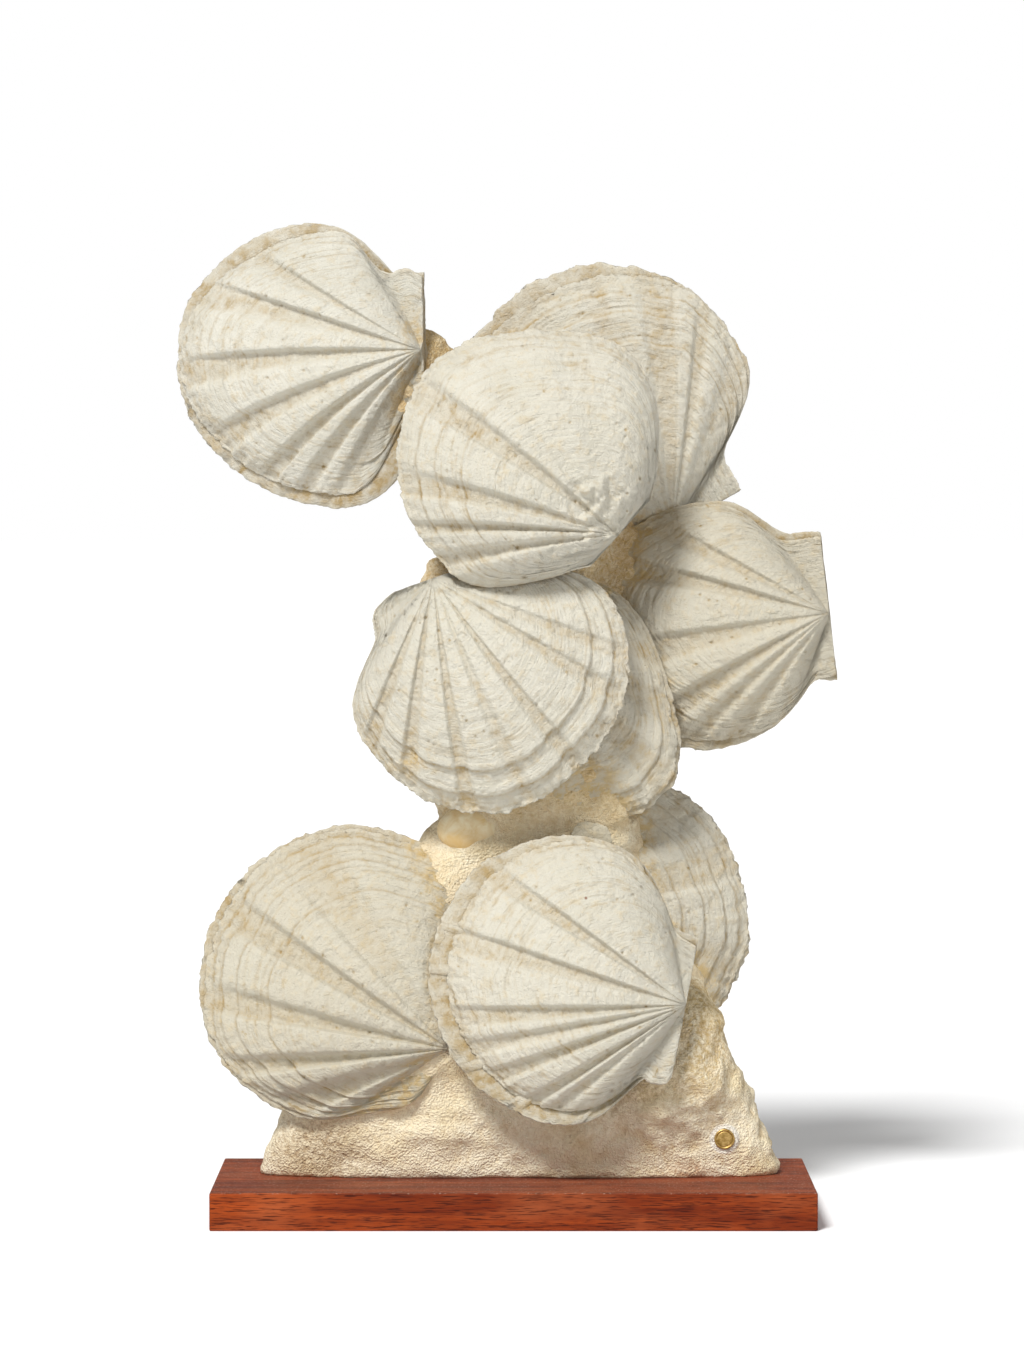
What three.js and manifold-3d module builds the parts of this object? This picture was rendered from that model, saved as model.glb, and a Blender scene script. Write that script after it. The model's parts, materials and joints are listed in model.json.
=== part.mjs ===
// A cluster of large fossil scallops, still fixed in the rock that buried them, on a wooden plinth.
// Each shell has one or two valves. A valve is a domed, grooved fan that grows out from its beak,
// with a flat ear on each side of the beak and a flat inner face where it meets its partner.
// Millimetres, +Z up, front towards -Y, origin in the middle of the plinth's underside.

import * as THREE from 'three';
import { mergeVertices } from 'three/addons/utils/BufferGeometryUtils.js';
import Module from 'manifold-3d';

const wasm = await Module();
wasm.setup();

// ---------- driving dimensions, in millimetres and degrees ----------

const GAP = 0.3; // clearance between the pieces
const BED_CLEARANCE = 1; // room round a valve's coarser bed in the rock
const PLINTH = { width: 350, depth: 150, height: 22, easedEdge: 1 };
const DISC = { radius: 6, thickness: 2.4, at: [124, -12, 45] };
const BEDDING = { radius: 9.5, depth: 16 }; // the dab that the disc is set in
const VALVE = {
  edge: 2.6, // thickness at the margin and over the ears
  umbo: 4, // how far the beak swells above the ears
  shoulder: 1.5, // degrees over which the fan's edge drops to the ear
  grooveDepth: 0.028, // as a share of the distance from the beak
  grooveWidth: 4,
};
// Degrees between the rays of a fan, and the rows as shares of the way from beak to margin.
const FINENESS = {
  front: { step: 5, rows: [0.1, 0.26, 0.45, 0.65, 0.85, 1] },
  rear: { step: 7.2, rows: [0.16, 0.42, 0.72, 1] },
};

// One entry for each shell.
// beak: where growth began. growth: which way it grew, anticlockwise from +X as seen from the front.
// facing: the sideways and upward lean of the outward direction. fan: half the angle between the shoulders.
// ears: reach of the hinge on each side of the beak. margin: lengths from beak to margin at equal steps
// across the fan, clockwise. rearMargin: the same for a rear valve that stands proud of its partner.
// grooves: angles from the growth line, clockwise. arch: height of each valve's dome.
const SHELLS = {
  upper_left: {
    beak: [-52, -10, 507], growth: 183, facing: [-0.3, 0.1], fan: 61, ears: [38, 42],
    margin: [88, 116, 137, 153, 146, 125, 86],
    rearMargin: [98, 124, 142, 155, 147, 126, 88],
    grooves: [-42, -34.5, -17, 1.8, 22.4, 33],
    arch: { front: 25, rear: 14 },
  },
  top: {
    beak: [94, 46, 403], growth: 119, facing: [0.04, 0.02], fan: 60, ears: [44, 46],
    margin: [93, 124, 151, 158, 154, 136, 86],
    rearMargin: [97, 131, 160, 165, 157, 136, 86],
    grooves: [-40, -24, -8, 8, 20, 30, 40],
    arch: { front: 22, rear: 12 },
  },
  centre: {
    beak: [60, -44, 399], growth: 138, facing: [0.02, 0.1], fan: 66, ears: [24, 20],
    margin: [62, 110, 137, 148, 136, 112, 80],
    grooves: [-45, -33.6, -22.7, -11, -0.5, 14],
    arch: { front: 33 },
  },
  right: {
    beak: [187, 12, 353], growth: 186, facing: [-0.13, 0.08], fan: 58, ears: [42, 46],
    margin: [72, 108, 140, 151, 140, 113, 70],
    rearMargin: [71, 107, 139, 151, 143, 114, 71],
    grooves: [-43.7, -35, -22.3, 1.8, 22.4, 32],
    arch: { front: 25, rear: 8 },
  },
  middle: {
    beak: [-44, -32, 367], growth: -62, facing: [-0.08, 0], fan: 64, ears: [42, 40],
    margin: [89, 116, 135, 139, 130, 107, 86],
    grooves: [-44.4, -34.3, -12.5, 4, 19.7, 37, 52],
    arch: { front: 22 },
  },
  under_middle: {
    beak: [-17, -8, 366], growth: -60, facing: [0.02, 0], fan: 62, ears: [34, 34],
    margin: [78, 108, 138, 154, 136, 112, 82],
    grooves: [-42, -30, -18, -6, 8, 22, 36],
    arch: { front: 17, rear: 6 },
  },
  lower_left: {
    beak: [-36, -22, 99], growth: 146, facing: [-0.1, 0.12], fan: 61, ears: [40, 34],
    margin: [98, 132, 154, 161, 154, 132, 97],
    grooves: [-56, -48.4, -41.8, -18.4, 2.4],
    arch: { front: 23, rear: 14 },
  },
  lower_front: {
    beak: [100, -40, 127], growth: 169, facing: [0, 0.1], fan: 63, ears: [42, 38],
    margin: [74, 105, 128, 139, 135, 112, 68],
    rearMargin: [94, 117, 140, 150, 145, 122, 87],
    grooves: [-41, -32.4, -27.5, -12.7, 7.2, 27],
    arch: { front: 24, rear: 14 },
  },
  low_right: {
    beak: [-5, 22, 168], growth: 3, facing: [0.15, 0.05], fan: 60, ears: [42, 42],
    margin: [98, 126, 143, 147, 143, 126, 101],
    grooves: [-36, -20, -4, 12, 28],
    arch: { front: 23, rear: 14 },
  },
};

// The rock is a few rough lumps run together. A station is a ring round the lump: its middle, then its
// half width and half depth.
const ROCK = {
  foot: {
    squareness: 3.6, sides: 28, stations: [
      [3, 20, PLINTH.height + GAP, 154, 35],
      [3, 18, 44, 149, 35],
      [2, 16, 66, 140, 35],
      [0, 15, 92, 128, 38],
      [0, 14, 124, 112, 40],
      [0, 15, 160, 88, 38],
      [4, 16, 196, 64, 31],
    ],
  },
  column: {
    squareness: 2.6, sides: 18, stations: [
      [5, 15, 150, 70, 34],
      [10, 16, 205, 58, 30],
      [12, 15, 232, 56, 28],
      [12, 16, 275, 54, 30],
      [14, 20, 330, 52, 33],
      [16, 24, 380, 52, 36],
      [12, 28, 430, 58, 34],
      [10, 38, 480, 50, 28],
      [12, 46, 516, 34, 20],
      [14, 50, 528, 16, 9],
    ],
  },
  centre_backing: {
    squareness: 2.3, sides: 14, stations: [
      [40, -14, 366, 14, 10],
      [36, -16, 378, 36, 24],
      [28, -14, 402, 52, 33],
      [14, -8, 455, 62, 36],
      [8, -2, 500, 48, 32],
      [6, 0, 522, 24, 18],
    ],
  },
  middle_backing: {
    squareness: 2.3, sides: 14, stations: [
      [-28, -6, 250, 20, 18],
      [-30, -8, 274, 40, 26],
      [-38, -8, 325, 42, 28],
      [-40, -8, 362, 32, 24],
      [-42, -6, 388, 14, 12],
    ],
  },
  left_branch: {
    squareness: 2.2, sides: 14, stations: [
      [24, 26, 430, 34, 26],
      [-26, 18, 458, 32, 24],
      [-60, 16, 484, 30, 24],
      [-100, 28, 506, 32, 22],
      [-138, 38, 512, 16, 12],
    ],
  },
  right_branch: {
    squareness: 2.2, sides: 14, stations: [
      [20, 30, 366, 36, 26],
      [64, 32, 366, 36, 26],
      [104, 38, 356, 34, 20],
      [146, 36, 350, 18, 12],
    ],
  },
};
const ROCK_BUMPS = 2.2; // how far the rock's surface strays from its lumps
const CHIP = { size: [26, 3, 17], at: [46, -15, 224], turn: 14 };
const PEBBLE = { size: [30, 20, 18], at: [-30, -9, 221] };

const SHELL_COLOUR = 0xe6dcc4;
const REAR_COLOUR = 0xd8ccb0;
const ROCK_COLOUR = 0xdccfae;
const PEBBLE_COLOUR = 0xd9c592;
const WOOD_COLOUR = 0x8a3f22;
const BRASS_COLOUR = 0xb08d4a;

// ---------- helpers ----------

const radians = THREE.MathUtils.degToRad;

// A smooth value through equally spaced ones, at a share from 0 to 1 of the way along them.
function smoothBetween(values, share) {
  const last = values.length - 1;
  const place = THREE.MathUtils.clamp(share, 0, 1) * last;
  const i = Math.min(Math.floor(place), last - 1);
  const w = place - i;
  const a = values[Math.max(i - 1, 0)];
  const b = values[i];
  const c = values[i + 1];
  const d = values[Math.min(i + 2, last)];
  const slope = (c - a) / 2;
  const bend = a - 2.5 * b + 2 * c - 0.5 * d;
  const twist = 1.5 * (b - c) + (d - a) / 2;
  return b + w * (slope + w * (bend + w * twist));
}

// A closed body from points and triangles.
function bodyOf(points, triangles) {
  const geometry = new THREE.BufferGeometry();
  geometry.setAttribute('position', new THREE.Float32BufferAttribute(points.flatMap((p) => p.toArray()), 3));
  geometry.setIndex(triangles.flat());
  geometry.computeVertexNormals();
  return geometry;
}

function solidOf(geometry) {
  const bare = geometry.clone();
  bare.deleteAttribute('normal');
  bare.deleteAttribute('uv');
  const merged = mergeVertices(bare, 1e-3);
  return new wasm.Manifold(new wasm.Mesh({
    numProp: 3,
    vertProperties: new Float32Array(merged.attributes.position.array),
    triVerts: new Uint32Array(merged.index.array),
  }));
}

function geometryOf(solid) {
  const mesh = solid.getMesh();
  const geometry = new THREE.BufferGeometry();
  geometry.setAttribute('position', new THREE.Float32BufferAttribute(mesh.vertProperties, 3));
  geometry.setIndex([...mesh.triVerts]);
  geometry.computeVertexNormals();
  return geometry;
}

// ---------- a valve ----------

// The shell's own directions: along its growth, across it, and out of its face.
function directionsOf(shell) {
  const [lean, lift] = shell.facing;
  const angle = radians(shell.growth);
  const out = new THREE.Vector3(lean, -1, lift).normalize();
  const along = new THREE.Vector3(
    Math.cos(angle), Math.cos(angle) * lean + Math.sin(angle) * lift, Math.sin(angle)).normalize();
  const across = new THREE.Vector3().crossVectors(along, out);
  return { along, across, out };
}

// Angles of the rays from the beak. A ray that comes close to a groove moves onto it.
function raysOf(shell, step, onGrooves) {
  const count = Math.round((2 * shell.fan) / step);
  const fan = Array.from({ length: count + 1 }, (_, i) => -shell.fan + (2 * shell.fan * i) / count);
  const snapped = fan.map((ray, i) => {
    const groove = shell.grooves.find((angle) => Math.abs(angle - ray) < step / 2);
    return !onGrooves || groove === undefined || i === 0 || i === count ? ray : groove;
  });
  const ear = shell.fan + VALVE.shoulder;
  return [-90, -ear, ...snapped, ear, 90];
}

// How far the outline is from the beak, on a ray.
function reachOf(shell, margin, ray) {
  if (Math.abs(ray) <= shell.fan) {
    return smoothBetween(margin, (ray / shell.fan + 1) / 2);
  }
  const ear = ray < 0 ? shell.ears[0] : shell.ears[1];
  return ear / Math.sin(radians(Math.abs(ray)));
}

// Height of the dome over the flat inner face, at a share of the way to the margin.
function domeOf(shell, arch, ray, share) {
  const sideways = Math.abs(ray) / shell.fan;
  if (sideways >= 1) {
    return VALVE.edge;
  }
  const lengthwise = (share ** 0.75 * (1 - share) ** 0.85) / 0.331;
  return VALVE.edge + arch * lengthwise * (1 - sideways ** 2.6) ** 0.8;
}

function grooveOf(shell, ray, distance, share) {
  const depth = VALVE.grooveDepth * distance * Math.min(1, (1 - share) * 4 + 0.25);
  const nearest = Math.min(...shell.grooves.map((angle) => Math.abs(angle - ray)));
  return depth * Math.exp(-((nearest / VALVE.grooveWidth) ** 2) * 2);
}

// One valve. side is front or rear. grow makes it that much bigger all round and coarser, for cutting its
// bed. Only a front valve has grooves.
function valve(shell, side, grow = 0) {
  const { along, across, out } = directionsOf(shell);
  const face = side === 'front' ? 1 : -1;
  const arch = shell.arch[side];
  const margin = (side === 'rear' && shell.rearMargin) || shell.margin;
  const { step, rows: shares } = FINENESS[side];
  const rows = shares.length;
  const grooved = side === 'front' && grow === 0;
  const rays = raysOf(shell, grow > 0 ? FINENESS.rear.step : step, grooved);
  const inner = GAP / 2 - grow;
  const start = new THREE.Vector3(...shell.beak).addScaledVector(along, -grow);
  const at = (x, y, height) => start.clone()
    .addScaledVector(across, x)
    .addScaledVector(along, y)
    .addScaledVector(out, face * height);

  const points = [at(0, 0, inner), at(0, 0, GAP / 2 + VALVE.edge + VALVE.umbo + grow)];
  for (const ray of rays) {
    const reach = reachOf(shell, margin, ray) + 2 * grow;
    for (const share of shares) {
      const distance = reach * share;
      const carve = grooved ? grooveOf(shell, ray, distance, share) : 0;
      const height = Math.max(domeOf(shell, arch, ray, share) - carve, VALVE.edge) + grow;
      points.push(at(
        distance * Math.sin(radians(ray)), distance * Math.cos(radians(ray)), GAP / 2 + height));
    }
    points.push(at(reach * Math.sin(radians(ray)), reach * Math.cos(radians(ray)), inner));
  }
  const beakIn = 0;
  const beakOut = 1;
  const index = (ray, row) => 2 + ray * (rows + 1) + row;

  const triangles = [];
  for (let ray = 0; ray < rays.length - 1; ray += 1) {
    triangles.push([beakOut, index(ray, 0), index(ray + 1, 0)]);
    triangles.push([beakIn, index(ray + 1, rows), index(ray, rows)]);
    for (let row = 0; row < rows; row += 1) {
      const [a, b] = [index(ray, row), index(ray, row + 1)];
      const [c, d] = [index(ray + 1, row + 1), index(ray + 1, row)];
      triangles.push([a, b, c], [a, c, d]);
    }
  }
  const last = rays.length - 1;
  triangles.push([beakIn, index(0, 0), beakOut], [beakIn, beakOut, index(last, 0)]);
  for (let row = 0; row < rows; row += 1) {
    triangles.push([beakIn, index(0, row + 1), index(0, row)]);
    triangles.push([beakIn, index(last, row), index(last, row + 1)]);
  }
  const wound = face > 0 ? triangles.map(([a, b, c]) => [a, c, b]) : triangles;
  return bodyOf(points, wound);
}

// ---------- the rock ----------

// A gentle, fixed unevenness.
function bump(p) {
  const coarse = Math.sin(p.x * 0.09 + 2 * Math.sin(p.z * 0.05)) * Math.sin(p.z * 0.11 + p.y * 0.07);
  const fine = Math.sin(p.x * 0.23 + p.y * 0.19) * Math.sin(p.z * 0.27 - p.x * 0.08);
  return ROCK_BUMPS * (0.65 * coarse + 0.35 * fine);
}

// A closed lump through rings, each square to the line through their middles.
function lump({ stations, sides, squareness }) {
  const middles = stations.map(([x, y, z]) => new THREE.Vector3(x, y, z));
  const last = stations.length - 1;
  const points = [middles[0], middles[last]];
  stations.forEach(([, , , halfWidth, halfDepth], i) => {
    const line = middles[Math.min(i + 1, last)].clone().sub(middles[Math.max(i - 1, 0)]);
    const upright = i === 0 && Math.abs(line.z) > Math.abs(line.x);
    const run = upright ? new THREE.Vector3(0, 0, 1) : new THREE.Vector3(line.x, 0, line.z).normalize();
    const wide = new THREE.Vector3(run.z, 0, -run.x);
    for (let side = 0; side < sides; side += 1) {
      const turn = (2 * Math.PI * side) / sides;
      const round = (value) => Math.sign(value) * Math.abs(value) ** (2 / squareness);
      const across = wide.clone().multiplyScalar(halfWidth * round(Math.cos(turn)));
      across.y += halfDepth * round(Math.sin(turn));
      const point = middles[i].clone().add(across);
      point.addScaledVector(across.normalize(), i === 0 && upright ? 0 : bump(point));
      points.push(point);
    }
  });
  const index = (ring, side) => 2 + ring * sides + (side % sides);
  const triangles = [];
  for (let side = 0; side < sides; side += 1) {
    triangles.push([0, index(0, side + 1), index(0, side)]);
    triangles.push([1, index(last, side), index(last, side + 1)]);
    for (let ring = 0; ring < last; ring += 1) {
      const [a, b] = [index(ring, side), index(ring, side + 1)];
      const [c, d] = [index(ring + 1, side + 1), index(ring + 1, side)];
      triangles.push([a, b, c], [a, c, d]);
    }
  }
  return bodyOf(points, triangles);
}

// A short round bar that points forwards, from its back to its front.
function forwardBar(radius, back, front, sides) {
  const profile = [[0, front], [radius, front], [radius, back], [0, back]];
  const bar = new THREE.LatheGeometry(profile.map(([x, y]) => new THREE.Vector2(x, y)), sides);
  bar.translate(DISC.at[0], 0, DISC.at[2]);
  return bar;
}

function chip(grow = 0) {
  const [width, depth, height] = CHIP.size.map((size) => size + 2 * grow);
  const outline = new THREE.Shape();
  outline.absellipse(0, 0, width / 2, height / 2, 0, 2 * Math.PI);
  const plate = new THREE.ExtrudeGeometry(outline, { depth, bevelEnabled: false, curveSegments: 5 });
  plate.translate(0, 0, -depth / 2);
  plate.rotateX(Math.PI / 2);
  plate.rotateY(radians(CHIP.turn));
  plate.translate(...CHIP.at);
  return plate;
}

function pebble(grow = 0) {
  const ball = new THREE.SphereGeometry(1, 10, 7);
  ball.scale(...PEBBLE.size.map((size) => size / 2 + grow));
  ball.translate(...PEBBLE.at);
  return ball;
}

function rock() {
  const [first, ...others] = Object.values(ROCK).map((shape) => solidOf(lump(shape)));
  let body = others.reduce((whole, part) => whole.add(part), first);
  body = body.add(solidOf(forwardBar(BEDDING.radius, DISC.at[1] + BEDDING.depth, DISC.at[1], 16)));
  for (const shell of Object.values(SHELLS)) {
    for (const side of Object.keys(shell.arch)) {
      body = body.subtract(solidOf(valve(shell, side, BED_CLEARANCE)));
    }
  }
  const [, front] = DISC.at;
  const pocketBack = front + DISC.thickness / 2 + GAP;
  body = body.subtract(solidOf(forwardBar(DISC.radius + GAP, pocketBack, front - DISC.thickness, 16)));
  return geometryOf(body.subtract(solidOf(chip(GAP))).subtract(solidOf(pebble(GAP))));
}

// ---------- the plinth ----------

function plinth() {
  const { width, depth, height, easedEdge } = PLINTH;
  const halfWidth = width / 2 - easedEdge;
  const halfDepth = depth / 2 - easedEdge;
  const outline = new THREE.Shape([
    new THREE.Vector2(-halfWidth, -halfDepth),
    new THREE.Vector2(halfWidth, -halfDepth),
    new THREE.Vector2(halfWidth, halfDepth),
    new THREE.Vector2(-halfWidth, halfDepth),
  ]);
  const board = new THREE.ExtrudeGeometry(outline, {
    depth: height - 2 * easedEdge, bevelSize: easedEdge, bevelThickness: easedEdge, bevelSegments: 1,
  });
  board.translate(0, 0, easedEdge);
  return board;
}

// ---------- the object ----------

function finish(color, roughness, metalness = 0) {
  return new THREE.MeshStandardMaterial({ color, roughness, metalness });
}

function named(name, geometry, material) {
  const mesh = new THREE.Mesh(geometry, material);
  mesh.name = name;
  return mesh;
}

const cluster = new THREE.Group();
cluster.add(named('plinth', plinth(), finish(WOOD_COLOUR, 0.5)));
cluster.add(named('rock', rock(), finish(ROCK_COLOUR, 0.95)));
for (const [name, shell] of Object.entries(SHELLS)) {
  for (const side of Object.keys(shell.arch)) {
    const color = side === 'front' ? SHELL_COLOUR : REAR_COLOUR;
    cluster.add(named(`${name}_${side}_valve`, valve(shell, side), finish(color, 0.8)));
  }
}
const discBack = DISC.at[1] + DISC.thickness / 2;
const brass = forwardBar(DISC.radius, discBack, discBack - DISC.thickness, 20);
cluster.add(named('brass_disc', brass, finish(BRASS_COLOUR, 0.35, 0.9)));
cluster.add(named('neck_shell_chip', chip(), finish(REAR_COLOUR, 0.8)));
cluster.add(named('neck_pebble', pebble(), finish(PEBBLE_COLOUR, 0.6)));

export default cluster;
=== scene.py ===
# %% [markdown]
# # A cluster of fossil scallops in their rock
#
# Nine big scallops lie where the mud buried them. The mud has turned to a crumbly, sandy limestone, and a
# preparator has cut it back until the shells stand free. The block is set on a wooden plinth, with a small
# brass disc let into its foot.
#
# A scallop grows by adding a thin line of shell along its margin, so every point of a valve lies on a ray
# from the beak (where growth began) and on a growth line. That rule gives the whole shape, so one Geometry
# Nodes tree makes all sixteen valves from a drawn margin each. The rock has no such rule: it is a soft
# volume that fills the space behind the shells and creeps up their sides.

# %% Load the frame
import json
import math

import bmesh
import bpy
import numpy as np
from mathutils import Matrix, Vector

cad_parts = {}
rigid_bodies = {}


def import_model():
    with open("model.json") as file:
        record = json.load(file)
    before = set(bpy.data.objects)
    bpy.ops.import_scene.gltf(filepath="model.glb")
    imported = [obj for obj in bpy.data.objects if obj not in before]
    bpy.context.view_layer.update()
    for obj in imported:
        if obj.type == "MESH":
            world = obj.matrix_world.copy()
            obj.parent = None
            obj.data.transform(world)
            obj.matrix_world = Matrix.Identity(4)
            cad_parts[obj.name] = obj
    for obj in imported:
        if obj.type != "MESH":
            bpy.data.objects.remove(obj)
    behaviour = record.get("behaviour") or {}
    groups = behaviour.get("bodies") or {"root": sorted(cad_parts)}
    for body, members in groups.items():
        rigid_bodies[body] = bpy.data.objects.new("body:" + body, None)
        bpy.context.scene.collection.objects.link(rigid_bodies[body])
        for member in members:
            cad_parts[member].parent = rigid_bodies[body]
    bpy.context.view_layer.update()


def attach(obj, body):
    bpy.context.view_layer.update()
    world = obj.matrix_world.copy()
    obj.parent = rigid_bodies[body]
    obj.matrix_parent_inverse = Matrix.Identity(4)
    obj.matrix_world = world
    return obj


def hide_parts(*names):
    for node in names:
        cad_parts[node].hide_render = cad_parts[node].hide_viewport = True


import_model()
MM = 0.001

# %% [markdown]
# ## Small helpers
#
# Colours are written as the eye names them, in sRGB hex, and Blender wants linear light. Node trees are
# built by one helper that adds a node, sets it up and links it. A node given as an input stands for its
# first output. Inputs are named, or simply stand in the order of the node's sockets: a RANGE takes a value,
# the two ends that it comes from, and the two ends that it goes to (0 and 1 when they are left out).


# %% Helpers for colours and node trees
def linear(hex_colour):
    """An sRGB hex colour as linear red, green, blue and alpha."""
    parts = [int(hex_colour[i:i + 2], 16) / 255 for i in (1, 3, 5)]
    return [c / 12.92 if c <= 0.04045 else ((c + 0.055) / 1.055) ** 2.4 for c in parts] + [1.0]


def add(tree, kind, inputs=(), **settings):
    """Adds one node. inputs are values, sockets or nodes, by socket name or in the order of the sockets."""
    if isinstance(kind, tuple):
        kind, settings["operation"] = kind
    new = tree.nodes.new(kind)
    for name, value in settings.items():
        setattr(new, name, value)
    by_socket = inputs if isinstance(inputs, dict) else dict(enumerate(inputs))
    for key, value in by_socket.items():
        source = value.outputs[0] if isinstance(value, bpy.types.Node) else value
        if isinstance(source, bpy.types.NodeSocket):
            tree.links.new(source, new.inputs[key])
        else:
            new.inputs[key].default_value = source
    return new


MATH = "ShaderNodeMath"
VECTOR = "ShaderNodeVectorMath"
NOISE = "ShaderNodeTexNoise"
RANGE = "ShaderNodeMapRange"
PLUS, MINUS, TIMES, OVER = ((MATH, name) for name in ("ADD", "SUBTRACT", "MULTIPLY", "DIVIDE"))
LEAST, MOST, TIMES_PLUS = ((MATH, name) for name in ("MINIMUM", "MAXIMUM", "MULTIPLY_ADD"))


def blend(tree, factor, below, above):
    """A mix of two colours; either may be a colour or another node."""
    node = add(tree, "ShaderNodeMixRGB", {"Fac": factor})
    for socket, colour in (("Color1", below), ("Color2", above)):
        if isinstance(colour, str):
            node.inputs[socket].default_value = linear(colour)
        else:
            tree.links.new(colour.outputs[0], node.inputs[socket])
    return node


def new_material(name, **values):
    """A new material, its node tree and its shader. values set the shader's inputs, with _ for a space."""
    material = bpy.data.materials.new(name)
    material.use_nodes = True
    shader = material.node_tree.nodes["Principled BSDF"]
    for label, value in values.items():
        shader.inputs[label.replace("_", " ")].default_value = value
    return material, material.node_tree, shader


def new_tree(name, inputs):
    """A new geometry tree, the sockets that its inputs come in by, and the node that its result leaves by."""
    tree = bpy.data.node_groups.new(name, "GeometryNodeTree")
    for label, kind, value in inputs:
        socket = tree.interface.new_socket(name=label, in_out="INPUT", socket_type="NodeSocket" + kind)
        if value is not None:
            socket.default_value = value
    tree.interface.new_socket(name="Result", in_out="OUTPUT", socket_type="NodeSocketGeometry")
    return tree, tree.nodes.new("NodeGroupInput").outputs, tree.nodes.new("NodeGroupOutput")


def applied(piece, tree, settings, name):
    """Runs a geometry tree on a piece and leaves only the result, as a plain mesh under its own name."""
    modifier = piece.modifiers.new("tree", "NODES")
    modifier.node_group = tree
    identifiers = {item.name: item.identifier for item in tree.interface.items_tree if item.in_out == "INPUT"}
    for label, value in settings.items():
        modifier[identifiers[label]] = value
    depsgraph = bpy.context.evaluated_depsgraph_get()
    mesh = bpy.data.meshes.new_from_object(piece.evaluated_get(depsgraph))
    mesh.name = name
    bpy.data.objects.remove(piece)
    finished = bpy.data.objects.new(name, mesh)
    bpy.context.collection.objects.link(finished)
    return finished


# %% [markdown]
# ## Camera, floor and light
#
# The cluster is looked at from a little above its middle, from almost three metres away through a long
# lens, so the shells keep their true proportions. A pale floor runs back without an edge, and one soft
# light from the upper left does most of the work: it rakes across the ribs and throws one soft shadow to
# the right. A weak one from the right and an even sky fill the hollows. The camera sees the sky as white.

# %% Camera
CAMERA_PLACE = (-0.9 * MM, -2833.2 * MM, 414.8 * MM)
CAMERA_PITCH = 87.943  # degrees from straight down
LENS = 127.13  # millimetres
SENSOR = 36  # its long side, in millimetres

camera = bpy.data.objects.new("camera", bpy.data.cameras.new("camera"))
camera.location = CAMERA_PLACE
camera.rotation_euler = (math.radians(CAMERA_PITCH), 0, 0)
camera.data.lens = LENS
camera.data.sensor_width = SENSOR
bpy.context.collection.objects.link(camera)
bpy.context.scene.camera = camera
bpy.context.scene.view_settings.view_transform = "Standard"


# %% Floor and lights
def plain_mesh(name, vertices, faces, smooth=True):
    """A new mesh object at the origin."""
    mesh = bpy.data.meshes.new(name)
    mesh.from_pydata(vertices, [], faces)
    mesh.polygons.foreach_set("use_smooth", [smooth] * len(mesh.polygons))
    mesh.update()
    piece = bpy.data.objects.new(name, mesh)
    bpy.context.collection.objects.link(piece)
    return piece


FLOOR_REACH = 60.0  # metres
floor_corners = [(x * FLOOR_REACH, y * FLOOR_REACH, 0) for x, y in ((-1, -1), (1, -1), (1, 1), (-1, 1))]
floor = plain_mesh("floor", floor_corners, [(0, 1, 2, 3)])
# Matt white paper: it takes the shadows softly and shows no shine.
paper = new_material("matt_white_paper", Base_Color=linear("#FFFFFF"), Roughness=0.95)[0]
floor.data.materials.append(paper)

KEY_FROM = (-0.45, -1.0, 1.15)
KEY_STRENGTH = 3.45
KEY_SOFTNESS = 15  # degrees that the light spans, as a big soft box does
FILL_FROM = (0.8, -1.2, 0.2)
FILL_STRENGTH = 0.35
FILL_SOFTNESS = 60
SKY_STRENGTH = 0.35


def sun(name, direction, strength, softness):
    """A far light, so that the floor is evenly lit to its edge."""
    light = bpy.data.lights.new(name, "SUN")
    light.energy = strength
    light.angle = math.radians(softness)
    lamp = bpy.data.objects.new(name, light)
    lamp.rotation_euler = Vector(direction).to_track_quat("Z", "Y").to_euler()
    bpy.context.collection.objects.link(lamp)


sun("key", KEY_FROM, KEY_STRENGTH, KEY_SOFTNESS)
sun("fill", FILL_FROM, FILL_STRENGTH, FILL_SOFTNESS)
world = bpy.data.worlds.new("studio")
bpy.context.scene.world = world
world.use_nodes = True
studio = world.node_tree
seen = add(studio, "ShaderNodeLightPath").outputs["Is Camera Ray"]
strength = add(studio, RANGE, {"Value": seen, "To Min": SKY_STRENGTH, "To Max": 1.0})
background = studio.nodes["Background"]
background.inputs["Color"].default_value = (1, 1, 1, 1)
studio.links.new(strength.outputs[0], background.inputs["Strength"])

# %% [markdown]
# ## The shells as a table
#
# Each shell is a beak, a growth direction, a facing direction and two drawings. The outline is drawn in
# polar form, as a ray's angle from the growth direction and how far the shell reaches along it. It runs from
# one end of the hinge, round an ear, over the fan and back to the other end. The ribs are drawn as a
# section across the fan: 1 on a crest, -1 down in a groove. Ledges are the lines where growth stopped for a
# winter: how far out they lie, as a share of the way to the margin, and how far the surface drops there.

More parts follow.
